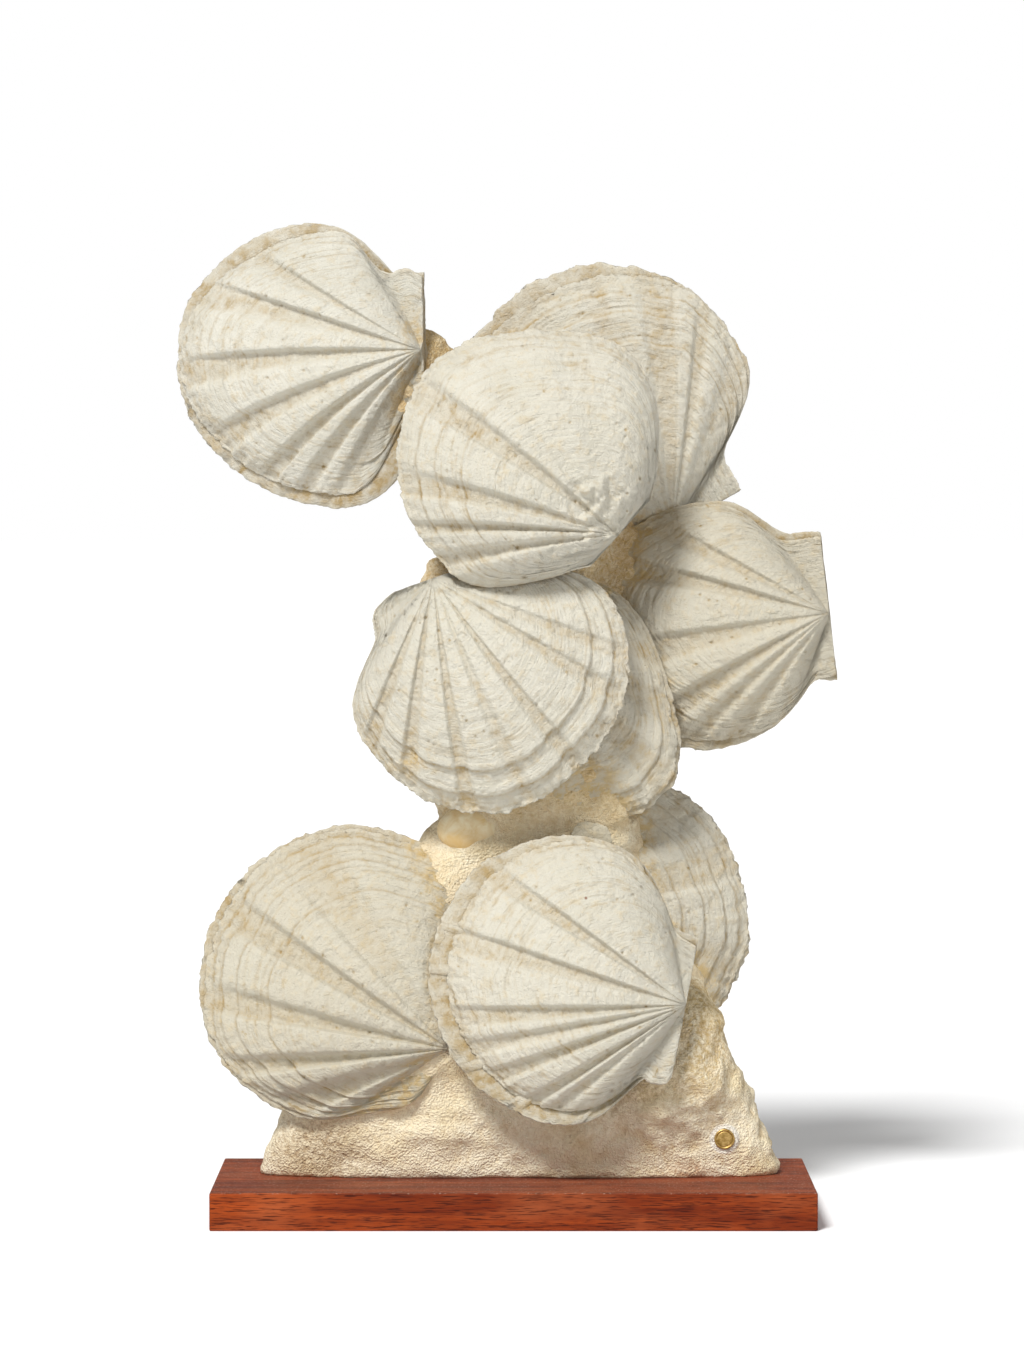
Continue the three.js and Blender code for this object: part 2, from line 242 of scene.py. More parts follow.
# %% The shells
SHELLS = {
    "upper_left": dict(
        beak=(-52, -10, 507), growth=183, facing=(-0.3, 0.1), fan=64, arch=(25, 14), rib_height=0.060,
        outline=((-90, 38), (-76, 40), (-71, 46), (-69, 56), (-67.5, 68), (-66, 78), (-63, 87), (-60, 93),
                 (-55, 98), (-50, 103), (-40, 114), (-30, 125), (-20, 135), (-10, 145), (0, 151), (10, 147),
                 (20, 137), (30, 122), (40, 109), (50, 96), (54, 91), (57, 86), (59, 78), (60.5, 62),
                 (63, 54), (69, 50), (76, 50), (80, 49), (86, 45), (90, 43)),
        rear=((-90, 40), (-83, 49), (-79, 64), (-75, 77), (-70, 88), (-60, 102), (-50, 111), (-40, 122),
              (-30, 132), (-20, 142), (-10, 150), (0, 153), (10, 153), (20, 146), (30, 134), (40, 120),
              (50, 104), (56, 91.5), (60, 80), (63, 69), (66, 58), (69, 50), (73, 48), (80, 47), (90, 46)),
        ribs=((-64, 0), (-57, -.3), (-53, .3), (-50, .2), (-46.5, -.7), (-42, .6), (-39, .4), (-35.5, -1),
              (-30.5, 1), (-26, .6), (-19.5, -1), (-14, 1), (-8, .5), (-1.2, -1), (4, 1), (10, .6),
              (18.3, -.8), (23, .8), (28, .2), (31.5, -.4), (35, .3), (42, .1), (64, 0)),
        ledges=((0.80, 1.2), (0.96, 0.5)), tone=1.0, breaks=0.95),
    "top": dict(
        beak=(94, 46, 403), growth=119, facing=(0.04, 0.02), fan=64, arch=(22, 12), rib_height=0.042,
        outline=((-90, 44), (-66, 50), (-62, 68), (-58, 96), (-40, 129), (-30, 143), (-20, 153), (-10, 157),
                 (0, 157), (10, 156), (20, 152), (30, 145), (40, 130), (50, 112), (55, 102), (58.5, 91),
                 (60.5, 78), (62, 60), (65, 53), (70, 50), (80, 48), (90, 47)),
        rear=((-90, 44), (-66, 52), (-62, 70), (-58, 100), (-40, 134), (-30, 150), (-20, 162), (-12, 163),
              (-10, 166), (0, 167), (5, 166), (10, 165), (20, 157), (30, 147.5), (40, 131.5), (50, 114.5),
              (55, 106), (59, 90), (61, 73), (63, 55), (70, 49), (90, 46)),
        ribs=((-64, 0), (-30, -.3), (-20, .3), (-8, -.4), (2, .3), (12, -.3), (18, .4), (25, -.9),
              (29, -.4), (33, 1), (37, -.5), (43, .4), (50, -.3), (64, 0)),
        ledges=((0.74, 2.2), (0.86, 2.6), (0.94, 2.0)), line_height=0.46, tone=0.85, breaks=0.25),
    "centre": dict(
        beak=(60, -42.3, 399), growth=138, facing=(0.02, 0.1), fan=86, arch=(30.4,), rib_height=0.060,
        outline=((-90, 22), (-80, 31), (-75, 42), (-70, 56), (-65, 75), (-60, 89), (-55, 97), (-50, 102),
                 (-40, 116), (-30, 127), (-20, 136), (-10, 142), (0, 146), (10, 142), (20, 133), (30, 125),
                 (40, 118), (50, 109), (60, 91), (65, 78), (70, 64), (75, 52), (80, 42), (85, 34),
                 (90, 28)),
        ribs=((-80, 0), (-60, .1), (-55, .3), (-50, -.6), (-46, .5), (-43, .4), (-40, -.8), (-37, .5),
              (-33, .5), (-28.5, -1), (-22, .8), (-12, .7), (-6.5, -1), (0, .6), (10, -.1), (22, .2),
              (35, -.1), (50, .1), (80, 0)),
        ledges=((0.70, 1.2), (0.82, 1.0), (0.91, 1.4)), wear=2.0, knobs=6.5, line_height=0.42, tone=0.84),
    "right": dict(
        beak=(186.6, 12, 353), growth=187, facing=(-0.13, 0.08), fan=63, arch=(25, 8), rib_height=0.056,
        outline=((-90, 35), (-80, 37), (-72, 39), (-68, 43), (-65, 51), (-62, 60), (-59, 68), (-55, 76),
                 (-50, 84), (-45, 93), (-40, 102), (-35, 110), (-30, 116), (-20, 128), (-10, 140), (0, 149),
                 (10, 146), (20, 137), (30, 123), (40, 110), (45, 102), (50, 94), (54, 85), (57, 74),
                 (59.5, 61), (63, 52), (70, 48), (80, 46), (90, 45)),
        rear=((-90, 38), (-78, 38), (-72, 38), (-66, 44), (-62, 56), (-58, 71), (-55, 78), (-50, 89),
              (-45, 99.5), (-40, 110), (-30, 121.5), (-20, 132), (0, 151), (20, 140), (40, 113), (50, 97),
              (56, 86), (60, 73), (64, 60), (68, 54), (75, 51), (90, 48)),
        ribs=((-64, 0), (-52, .3), (-46, -.4), (-40, .3), (-36, -.4), (-31, .3), (-25, -1), (-19, .9),
              (-13, .4), (-5.5, -.9), (1, .5), (10, .9), (15, .4), (19.5, -.9), (25, .7), (29, .4),
              (33, -.7), (38, .3), (50, .2), (62, 0)),
        ledges=((0.88, 1.3), (0.95, 1.0)), line_height=0.36, tone=0.52, breaks=0.8),
    "middle": dict(
        beak=(-46, -32, 375), growth=-71, facing=(-0.08, 0), fan=72, arch=(22,), rib_height=0.043,
        outline=((-90, 30), (-85, 35), (-80, 44), (-77, 61), (-74, 78), (-70, 91), (-65, 102), (-55, 115),
                 (-46, 124), (-36, 131), (-27, 135), (-18, 138), (-8, 141), (1, 141), (10, 137),
                 (20, 129.5), (29, 119), (38, 108), (47, 96.5), (52.5, 85.5), (55.5, 75), (57.5, 66),
                 (60, 56), (63, 49), (68, 45.5), (75, 42.5), (81, 38), (86, 30), (90, 24)),
        ribs=((-74, 0), (-53, .2), (-49, -.6), (-45, .3), (-42, .2), (-38.4, -.8), (-35, .4), (-24.4, .3),
              (-21.5, .2), (-18.4, -1), (-15.2, .4), (-8, .3), (-4.2, -.4), (-1, .3), (7, .3), (10.2, -1),
              (13.2, .3), (20, .35), (23, .1), (26.1, -1.2), (29.8, .4), (36, .3), (40, -1.2), (44, .3),
              (57, 0)),
        ledges=((0.82, 1.8), (0.925, 1.6)), wear=2.0, knobs=3.2, tone=0.84, breaks=0.1),
    "under_middle": dict(
        beak=(-17, -8, 366), growth=-60, facing=(0.02, 0), fan=66, arch=(17, 6), rib_height=0.034,
        outline=((-90, 30), (-75, 36), (-70, 47), (-65, 63), (-60, 74), (-50, 90), (-40, 105), (-30, 123),
                 (-20, 146), (-14, 154), (-8, 155), (0, 150), (10, 146), (20, 138), (40, 114), (60, 84),
                 (64, 58), (90, 34)),
        rear=((-90, 30), (-72, 44), (-65, 66), (-60, 77), (-50, 93), (-40, 108), (-30, 127), (-20, 149),
              (-14, 157), (-8, 158), (0, 154), (20, 140), (40, 116), (60, 86), (64, 60), (90, 34)),
        ribs=((-64, 0), (-46, .3), (-40, -.5), (-34, .3), (-27, -.7), (-20, .6), (-14, -.8), (-7, .6),
              (0, -.5), (8, .4), (16, -.4), (24, .3), (36, -.3), (48, .2), (64, 0)),
        ledges=((0.80, 1.9), (0.93, 1.6)), line_height=0.3, tone=0.6),
    "lower_left": dict(
        beak=(-36, -22, 99), growth=146, facing=(-0.1, 0.12), fan=66, arch=(23, 14), rib_height=0.070,
        outline=((-90, 32), (-85, 42), (-79, 48), (-74, 53), (-69, 62), (-65, 76), (-61, 88), (-55, 100),
                 (-50, 109), (-46, 117), (-40, 129), (-30, 143), (-20, 150), (-10, 154), (0, 156),
                 (10, 156), (20, 151), (30, 142), (40, 127), (50, 115), (55, 107), (60, 97), (62.5, 84),
                 (65, 62), (68, 50), (76, 44), (90, 40)),
        rear=((-90, 34), (-82, 46), (-74, 56), (-68, 70), (-61, 91), (-55, 104), (-46, 120.5), (-40, 131.5),
              (-30, 145), (-20, 153.5), (-10, 158.5), (0, 160.5), (10, 158), (20, 152.5), (30, 145),
              (40, 131.5), (50, 117), (60, 98), (64, 70), (70, 50), (90, 40)),
        ribs=((-66, 0), (-60, .1), (-57, -.4), (-53, -.6), (-48, .3), (-44, .8), (-39.5, -.8), (-35, .5),
              (-31, .9), (-27, .5), (-23.5, -.9), (-18, .3), (-12, 1), (-8, .6), (-3.3, -1), (3, .5),
              (8.5, 1), (13.5, -.1), (22, -.4), (30, .2), (50, .1), (66, 0)),
        ledges=((0.72, 1.6), (0.86, 1.9), (0.93, 1.5), (0.97, 1.0)), tone=0.5, breaks=0.12),
    "lower_front": dict(
        beak=(100, -40, 127), growth=169, facing=(0, 0.1), fan=68, arch=(24, 14), rib_height=0.054,
        outline=((-90, 42), (-87, 46), (-76, 49), (-70, 48), (-67.5, 50), (-65, 59), (-62, 70), (-59, 79),
                 (-53, 91), (-44, 104), (-35, 115), (-21, 128), (-10, 136), (0, 139), (10, 138), (21, 135),
                 (30, 129), (42, 118), (50, 107), (55, 98), (59, 88), (63, 76), (66, 65), (68.5, 52),
                 (71, 42), (76, 38), (84, 35), (90, 33)),
        rear=((-90, 42), (-72, 48), (-68, 58), (-64, 78), (-57, 96), (-42, 117), (-21, 140), (0, 150),
              (21, 145), (30, 136), (42, 122), (55, 101), (63, 82), (67, 62), (71, 44), (90, 38)),
        ribs=((-66, 0), (-58, .2), (-54, .3), (-49, -.3), (-46, .3), (-43.5, -.8), (-39.5, .5), (-35.5, .6),
              (-32, -.9), (-27.5, .7), (-22.5, -.5), (-18.5, .6), (-14.5, -1), (-9.5, .8), (-3, .8),
              (0, .4), (5.2, -1), (10, 1), (15.5, .8), (19.5, .4), (22.8, -.9), (27, .5), (33, .1),
              (42, .25), (55, .15), (66, 0)),
        ledges=((0.62, 0.4), (0.978, 0.5)), tone=0.78, breaks=1.0, teeth=-3.6),
    "low_right": dict(
        beak=(-5, 22, 168), growth=3, facing=(0.15, 0.05), fan=66, arch=(23, 14), rib_height=0.024,
        outline=((-90, 42), (-68, 48), (-64, 72), (-60, 96), (-40, 123), (-30, 133), (-20, 140), (-10, 143),
                 (0, 145), (8, 146), (16, 141), (25, 137), (40, 126), (60, 99), (64, 74), (68, 48),
                 (90, 42)),
        rear=((-90, 42), (-68, 48), (-64, 73), (-60, 97), (-40, 124), (-20, 141), (0, 146), (8, 147),
              (16, 143), (25, 138), (40, 127), (60, 100), (64, 75), (68, 48), (90, 42)),
        ribs=((-66, 0), (-40, .3), (-30, -.3), (-22, .4), (-12, -.8), (-3, .8), (6, .1), (14, -.7),
              (24, .5), (34, -.5), (44, .4), (66, 0)),
        ledges=((0.70, 1.4), (0.80, 1.4), (0.89, 1.3), (0.955, 0.8)), line_height=0.34, tone=0.7, breaks=0.3),
}
print(len(SHELLS), "shells with", sum(len(shell["arch"]) for shell in SHELLS.values()), "valves")

# %% [markdown]
# ## The margin as a guide line
#
# The guide is a row of points, one for each ray from the beak. It also carries what the tree needs to know
# about each ray: its angle, how high the dome stands on it, and its place on the section of the ribs. The
# rays are not evenly turned: they stand closer where the outline runs steeply in, at the shoulders.

# %% Draw the margins
RAYS = {"front": 330, "rear": 190}
OUTLINE_CHECKS = 3601  # places where the drawn outline is read to space its rays
EDGE = 2.6  # millimetres of shell at the margin and over the ears
DOME_RISE, DOME_FALL, DOME_TOP = 0.75, 0.85, 0.331  # how a dome climbs from the beak and sinks to the margin
DOME_BREADTH, DOME_SHOULDER = 2.6, 0.8  # how broad it stays across the fan, and how it rounds off


def drawn(points, at):
    """A smooth line through drawn points that never swings past them."""
    x, y = np.array(points, float).T
    run = np.diff(x)
    slope = np.diff(y) / run
    before, after = slope[:-1], slope[1:]
    together = before * after > 0
    mean = np.where(together, 2 * before * after / np.where(together, before + after, 1), 0)
    tangent = np.concatenate([[slope[0]], mean, [slope[-1]]])
    i = np.clip(np.searchsorted(x, at) - 1, 0, len(run) - 1)
    w = np.clip((at - x[i]) / run[i], 0, 1)
    swing = run[i] * w * (1 - w) * (tangent[i] * (1 - w) - tangent[i + 1] * w)
    return y[i] + (y[i + 1] - y[i]) * w ** 2 * (3 - 2 * w) + swing


def dome_along(share):
    """The dome's height at a share of the way from beak to margin, 1 at its highest."""
    return share ** DOME_RISE * (1 - share) ** DOME_FALL / DOME_TOP


def dome_across(rays, fan):
    """The dome's height on each ray, from 1 along the growth line to 0 at the shoulders."""
    sideways = np.clip(np.abs(rays) / fan, 0, 1)
    return (1 - sideways ** DOME_BREADTH) ** DOME_SHOULDER


def rays_of(outline, count):
    """The angles of the rays, spaced by the way round the outline."""
    fine = np.linspace(-90, 90, OUTLINE_CHECKS)
    reach = drawn(outline, fine)
    turn = np.radians(fine[1] - fine[0])
    steps = np.hypot((reach[1:] + reach[:-1]) / 2 * turn, 0.4 * np.diff(reach)) + 12 * turn
    way = np.concatenate([[0], np.cumsum(steps)])
    return np.interp(np.linspace(0, way[-1], count), way, fine)


def guide_of(name, shell, face):
    """The margin as a row of points that carry what the tree needs to know about their rays."""
    outline = shell["outline"] if face == "front" else shell["rear"]
    rays = rays_of(outline, RAYS[face])
    reach = drawn(outline, rays) * MM
    points = np.stack([reach * np.sin(np.radians(rays)), reach * np.cos(np.radians(rays)), 0 * rays], 1)
    guide = plain_mesh(name + "_guide", points.tolist(), [])
    within = np.clip(rays, shell["ribs"][0][0], shell["ribs"][-1][0])
    carried = {"ray": rays, "dome": dome_across(rays, shell["fan"]), "pleat": drawn(shell["ribs"], within)}
    for key, values in carried.items():
        guide.data.attributes.new(key, "FLOAT", "POINT").data.foreach_set("value", values)
    return guide


# %% [markdown]
# ## The valve tree
#
# A flat grid is the raw material. One way across it counts the rays. The other way walks round the valve's
# section: out from the beak over the domed outside, round the thick edge at the margin, and back along the
# flat inside. Each point is then put in its place: the guide says where its ray meets the margin, and its
# share of the way there, times the guide's point, gives its place in plan. The dome, ribs, ledges, growth
# lines and wear add up to its height. Merging the points that meet at the beak and along the hinge closes
# the valve into one solid.

# %% Build the valve tree
VALVE_INPUTS = [
    ("Guide", "Geometry", None), ("Rows", "Int", 190), ("Edge", "Float", EDGE * MM),
    ("Arch", "Float", 24 * MM), ("Umbo", "Float", 4 * MM), ("Rib height", "Float", 0.026),
    ("Line spacing", "Float", 1.7 * MM), ("Line height", "Float", 0.22 * MM), ("Wear", "Float", 1.0 * MM),
    ("Knobs", "Float", 0.0), ("Pit depth", "Float", 0.9 * MM), ("Flake", "Float", 0.5 * MM),
    ("Ledge breaks", "Float", 0.5), ("Ragged", "Float", 0.016), ("Lip", "Float", 0.0),
    ("Tone", "Float", 0.5), ("Seed", "Float", 0.0), ("Shell", "Material", None)]
LEDGES = 4
for number in range(1, LEDGES + 1):
    VALVE_INPUTS.append((f"Ledge {number} share", "Float", 2.0))
    VALVE_INPUTS.append((f"Ledge {number} drop", "Float", 0.0))
valve_tree, given, valve_result = new_tree("scallop_valve", VALVE_INPUTS)
print("the valve tree takes", len(VALVE_INPUTS), "inputs")


# %% Valve tree: the grid, and where each of its points lies
OUTSIDE_ENDS = 0.87  # share of the rows used by the domed outside
EDGE_ENDS = 0.93  # and where the edge gives way to the inside

ray_count = add(valve_tree, "GeometryNodeAttributeDomainSize", {
    "Geometry": given["Guide"]}).outputs["Point Count"]
grid = add(valve_tree, "GeometryNodeMeshGrid", {"Size X": 1.0, "Size Y": 1.0, "Vertices X": given["Rows"],
                                                "Vertices Y": ray_count})
counter = add(valve_tree, "GeometryNodeInputIndex")
column = add(valve_tree, MATH, (counter, ray_count), operation="MODULO")
across = add(valve_tree, "ShaderNodeSeparateXYZ", (add(valve_tree, "GeometryNodeInputPosition"),))
walk = add(valve_tree, PLUS, (across.outputs["X"], 0.5))

carried = {}
for key in ("ray", "dome", "pleat"):
    held = add(valve_tree, "GeometryNodeInputNamedAttribute", {"Name": key})
    carried[key] = add(valve_tree, "GeometryNodeSampleIndex", {
        "Geometry": given["Guide"], "Value": held, "Index": column})
rim = add(valve_tree, "GeometryNodeSampleIndex", {
    "Geometry": given["Guide"], "Value": add(valve_tree, "GeometryNodeInputPosition"),
    "Index": column}, data_type="FLOAT_VECTOR")

going_out = add(valve_tree, OVER, (walk, OUTSIDE_ENDS))
coming_back = add(valve_tree, RANGE, (walk, EDGE_ENDS, 1.0, 1.0, 0.0))
share = add(valve_tree, LEAST, (going_out, coming_back))
lift = add(valve_tree, RANGE, (walk, OUTSIDE_ENDS, EDGE_ENDS, 1.0, 0.0))
reach = add(valve_tree, VECTOR, (rim,), operation="LENGTH").outputs["Value"]
distance = add(valve_tree, TIMES, (share, reach))

# %% [markdown]
# Growth lines are not perfect arcs. They wander a little, and they swing outwards on the ribs. The wandering
# share is used for every line and ledge, so that they all follow each other as real ones do.

# %% Valve tree: growth
slow_place = add(valve_tree, "ShaderNodeCombineXYZ", {
    "X": add(valve_tree, TIMES, (carried["ray"], 0.045)), "Y": add(valve_tree, TIMES, (share, 2.0)),
    "Z": given["Seed"]})
slow_noise = add(valve_tree, NOISE, {"Vector": slow_place, "Scale": 1.0, "Detail": 3.0})
wander = add(valve_tree, TIMES_PLUS, (slow_noise, 0.05, -0.025))
swing = add(valve_tree, TIMES, (carried["pleat"], -0.008))
growth = add(valve_tree, PLUS, (add(valve_tree, PLUS, (share, wander)), swing))

# %% Valve tree: dome, ribs and ledges
profile = add(valve_tree, "ShaderNodeFloatCurve", {"Value": share})
dome_curve = profile.mapping.curves[0]
DOME_POINTS = 17
for i in range(1, DOME_POINTS - 1):
    x = i / (DOME_POINTS - 1)
    dome_curve.points.new(x, dome_along(x))
dome_curve.points[0].location = (0, 0)
dome_curve.points[-1].location = (1, 0)
profile.mapping.update()
domed = add(valve_tree, TIMES, (profile, carried["dome"]))
height = add(valve_tree, TIMES_PLUS, (domed, given["Arch"], given["Edge"]))

umbo = add(valve_tree, RANGE, (share, 0.16, 0.0), interpolation_type="SMOOTHSTEP")
smooth_height = add(valve_tree, TIMES_PLUS, (umbo, given["Umbo"], height))
height = smooth_height

fade = add(valve_tree, RANGE, (share, 0.8, 1.0, 1.0, 0.6))
STRONGEST = 90 * MM  # the distance from the beak where ribs stand highest
far_out = add(valve_tree, MATH, (add(valve_tree, OVER, (distance, STRONGEST)), 2.0), operation="POWER")
rib_size = add(valve_tree, OVER, (distance, add(valve_tree, PLUS, (far_out, 1.0))))
rib_size = add(valve_tree, TIMES, (rib_size, given["Rib height"]))
rib_size = add(valve_tree, TIMES, (rib_size, fade))
keen = add(valve_tree, TIMES_PLUS, (share, 3.2, 1.0))
pleat = add(valve_tree, MATH, (add(valve_tree, TIMES, (carried["pleat"], keen)),), operation="TANH")
height = add(valve_tree, TIMES_PLUS, (pleat, rib_size, height))

ledge_place = add(valve_tree, "ShaderNodeCombineXYZ", {
    "X": add(valve_tree, TIMES, (carried["ray"], 0.035)), "Z": given["Seed"]})
ledge_noise = add(valve_tree, NOISE, {"Vector": ledge_place, "Scale": 1.0, "Detail": 2.0})
ledge_gap = add(valve_tree, RANGE, (ledge_noise, 0.58, 0.42), interpolation_type="SMOOTHSTEP")
ledge_gap = add(valve_tree, TIMES, (ledge_gap, given["Ledge breaks"]))
ledge_kept = add(valve_tree, MINUS, (1.0, ledge_gap))
turned = add(valve_tree, MATH, (carried["ray"],), operation="ABSOLUTE")
off_ears = add(valve_tree, RANGE, (turned, 67.0, 76.0, 1.0, 0.25))
ledge_kept = add(valve_tree, TIMES, (ledge_kept, off_ears))
# The stain mask gathers where the colour is darkened: partly ochre stain, partly painted shade under each
# ledge, in creases and pits and on the inside.
ledge_sum, stained = None, None
for number in range(1, LEDGES + 1):
    at = given[f"Ledge {number} share"]
    from_ledge = add(valve_tree, MINUS, (growth, at))
    drop = add(valve_tree, RANGE, (from_ledge, -0.003, 0.005, 0.0, -1.0), interpolation_type="SMOOTHSTEP")
    lip = add(valve_tree, RANGE, (from_ledge, -0.05, -0.004, 0.0, 0.5), interpolation_type="SMOOTHERSTEP")
    lip = add(valve_tree, TIMES, (lip, add(valve_tree, PLUS, (drop, 1.0))))
    refill = add(valve_tree, RANGE, (from_ledge, 0.005, 0.09, 0.0, 0.6))
    step = add(valve_tree, PLUS, (add(valve_tree, PLUS, (drop, lip)), refill))
    sized = add(valve_tree, TIMES, (step, given[f"Ledge {number} drop"]))
    # A band just below each ledge: ochre, and the painted shade of its undercut.
    below = add(valve_tree, RANGE, (from_ledge, 0.003, 0.015, 0.65, 0.0))
    at_foot = add(valve_tree, MATH, (from_ledge, 0.0), operation="GREATER_THAN")
    below = add(valve_tree, TIMES, (below, at_foot))
    ledge_sum = sized if ledge_sum is None else add(valve_tree, PLUS, (ledge_sum, sized))
    stained = below if stained is None else add(valve_tree, MOST, (stained, below))
height = add(valve_tree, TIMES_PLUS, (ledge_sum, ledge_kept, height))
stained = add(valve_tree, TIMES, (stained, add(valve_tree, MATH, (ledge_kept, 2.0), operation="POWER")))

# %% [markdown]
# The finest relief comes from noise that is squeezed one way: along a growth line it hardly changes, and
# across it changes every millimetre or two. Where it passes its middle value the line is cut as a thin
# crease. Wear is the opposite, an unevenness that ignores the lines. Flakes are shallow patches where the
# outermost layer has come away, and pits are dug here and there by sand grains and boring sponges.

# %% Valve tree: growth lines and creases
CREASE_DEPTH = 0.42 * MM
line_place = add(valve_tree, "ShaderNodeCombineXYZ", {
    "X": add(valve_tree, TIMES, (carried["ray"], 0.07)),
    "Y": add(valve_tree, OVER, (add(valve_tree, TIMES, (growth, 0.15)), given["Line spacing"])),
    "Z": given["Seed"]})
line_noise = add(valve_tree, NOISE, {"Vector": line_place, "Scale": 1.0, "Detail": 2.0, "Roughness": 0.6})
lines = add(valve_tree, MINUS, (line_noise, 0.5))
line_size = add(valve_tree, TIMES, (given["Line height"], 3.6))
height = add(valve_tree, TIMES_PLUS, (lines, line_size, height))

crease_place = add(valve_tree, VECTOR, (line_place, (0.22, 0.16, 1.0)), operation="MULTIPLY")
crease_noise = add(valve_tree, NOISE, {"Vector": crease_place, "Scale": 1.0, "Detail": 3.0,
                                       "Roughness": 0.55})
crease = add(valve_tree, MATH, (add(valve_tree, MINUS, (crease_noise, 0.5)),), operation="ABSOLUTE")
crease = add(valve_tree, RANGE, (crease, 0.006, 0.022, 1.0, 0.0))
outer = add(valve_tree, RANGE, (share, 0.3, 0.8, 0.1, 1.0))
crease = add(valve_tree, TIMES, (crease, outer))
height = add(valve_tree, TIMES_PLUS, (crease, -CREASE_DEPTH, height))
# Creases darken the colour: ochre and painted shade.
stained = add(valve_tree, TIMES_PLUS, (crease, 0.38, stained))

# %% Valve tree: wear, flakes, knobs and pits
plan = add(valve_tree, VECTOR, {0: rim, "Scale": share}, operation="SCALE")
worn_place = add(valve_tree, VECTOR, (
    plan, add(valve_tree, "ShaderNodeCombineXYZ", {"Z": given["Seed"]})), operation="ADD")
SOFT_WEAR_MM, FINE_WEAR_MM, FLAKE_MM, KNOB_MM, PIT_MM, HINGE_WEAR_MM = 24, 6, 16, 15, 7, 9
soft_wear = add(valve_tree, NOISE, {"Vector": worn_place, "Scale": 1 / (SOFT_WEAR_MM * MM), "Detail": 2.0})
fine_wear = add(valve_tree, NOISE, {"Vector": worn_place, "Scale": 1 / (FINE_WEAR_MM * MM), "Detail": 4.0,
                                    "Roughness": 0.62})
wear = add(valve_tree, TIMES_PLUS, (fine_wear, 1.1, soft_wear))
wear = add(valve_tree, MINUS, (wear, 1.05))
height = add(valve_tree, TIMES_PLUS, (wear, given["Wear"], height))

flake_noise = add(valve_tree, NOISE, {"Vector": worn_place, "Scale": 1 / (FLAKE_MM * MM), "Detail": 5.0,
                                      "Roughness": 0.58, "Distortion": 0.6})
flake = add(valve_tree, RANGE, (flake_noise, 0.56, 0.585, 0.0, -1.0))
height = add(valve_tree, TIMES_PLUS, (flake, given["Flake"], height))

knob_noise = add(valve_tree, NOISE, {"Vector": worn_place, "Scale": 1 / (KNOB_MM * MM), "Detail": 1.5,
                                     "Roughness": 0.45})
knob_noise = add(valve_tree, RANGE, (knob_noise, 0.46, 0.66), interpolation_type="SMOOTHSTEP")
knob_noise = add(valve_tree, TIMES_PLUS, (fine_wear, 0.35, knob_noise))
knob_noise = add(valve_tree, MINUS, (knob_noise, 0.3))
oldest = add(valve_tree, RANGE, (share, 0.12, 0.38, 1.0, 0.0), interpolation_type="SMOOTHSTEP")
knobs = add(valve_tree, TIMES, (knob_noise, oldest))
height = add(valve_tree, TIMES_PLUS, (knobs, given["Knobs"], height))

cells = add(valve_tree, "ShaderNodeTexVoronoi", {"Vector": worn_place, "Scale": 1 / (PIT_MM * MM)})
from_cell = cells.outputs["Distance"]
pit = add(valve_tree, RANGE, (from_cell, 0.06, 0.17, 1.0, 0.0), interpolation_type="SMOOTHSTEP")
some = add(valve_tree, RANGE, (flake_noise, 0.47, 0.52))
pit = add(valve_tree, TIMES, (pit, some))
dug = add(valve_tree, TIMES, (pit, given["Pit depth"]))
height = add(valve_tree, MINUS, (height, dug))
# Pits darken the colour: ochre and painted shade.
stained = add(valve_tree, TIMES_PLUS, (pit, 0.8, stained))

# %% Valve tree: edges, hinge and margin
MARGIN_CRUMBLE, INSIDE_CRUMBLE = 2.6 * MM, 1.8 * MM
near_beak = add(valve_tree, RANGE, (share, 0.0, 0.03), interpolation_type="SMOOTHSTEP")
relief = add(valve_tree, MINUS, (height, smooth_height))
height = add(valve_tree, TIMES_PLUS, (relief, near_beak, smooth_height))
least = add(valve_tree, TIMES, (given["Edge"], 0.55))
height = add(valve_tree, MOST, (height, least))
inner_lip = add(valve_tree, RANGE, (share, 0.955, 0.98), interpolation_type="SMOOTHSTEP")
tooth_place = add(valve_tree, "ShaderNodeCombineXYZ", {
    "X": add(valve_tree, TIMES, (carried["ray"], 0.16)), "Z": given["Seed"]})
teeth = add(valve_tree, NOISE, {"Vector": tooth_place, "Scale": 1.0, "Detail": 1.0})
teeth = add(valve_tree, RANGE, (teeth, 0.56, 0.60, 0.0, 0.9))
tooth_band = add(valve_tree, RANGE, (share, 0.86, 0.88))
teeth = add(valve_tree, TIMES, (teeth, tooth_band))
inner_lip = add(valve_tree, MOST, (inner_lip, teeth))
inside = add(valve_tree, TIMES, (inner_lip, given["Lip"]))
inner_side = add(valve_tree, RANGE, (lift, 0.0, 0.4, 1.0, 0.0))
channel = add(valve_tree, MINUS, (1.0, inner_lip))
channel = add(valve_tree, TIMES_PLUS, (channel, 0.7, 0.25))
# The inside darkens away from the lip: ochre, and painted shade in the channel.
stained = add(valve_tree, TIMES_PLUS, (inner_side, channel, stained))
half_edge = add(valve_tree, TIMES, (given["Edge"], 0.5))

margin_crumble = add(valve_tree, RANGE, (share, 0.88, 0.99, 0.0, 1.4), interpolation_type="SMOOTHSTEP")
crumble = add(valve_tree, TIMES, (add(valve_tree, MINUS, (fine_wear, 0.5)), margin_crumble))
outside = add(valve_tree, TIMES, (add(valve_tree, TIMES_PLUS, (crumble, MARGIN_CRUMBLE, height)), lift))
rise = add(valve_tree, PLUS, (outside, inside))
inner_crumble = add(valve_tree, TIMES, (crumble, add(valve_tree, MINUS, (1.0, lift))))
rise = add(valve_tree, TIMES_PLUS, (inner_crumble, -INSIDE_CRUMBLE, rise))

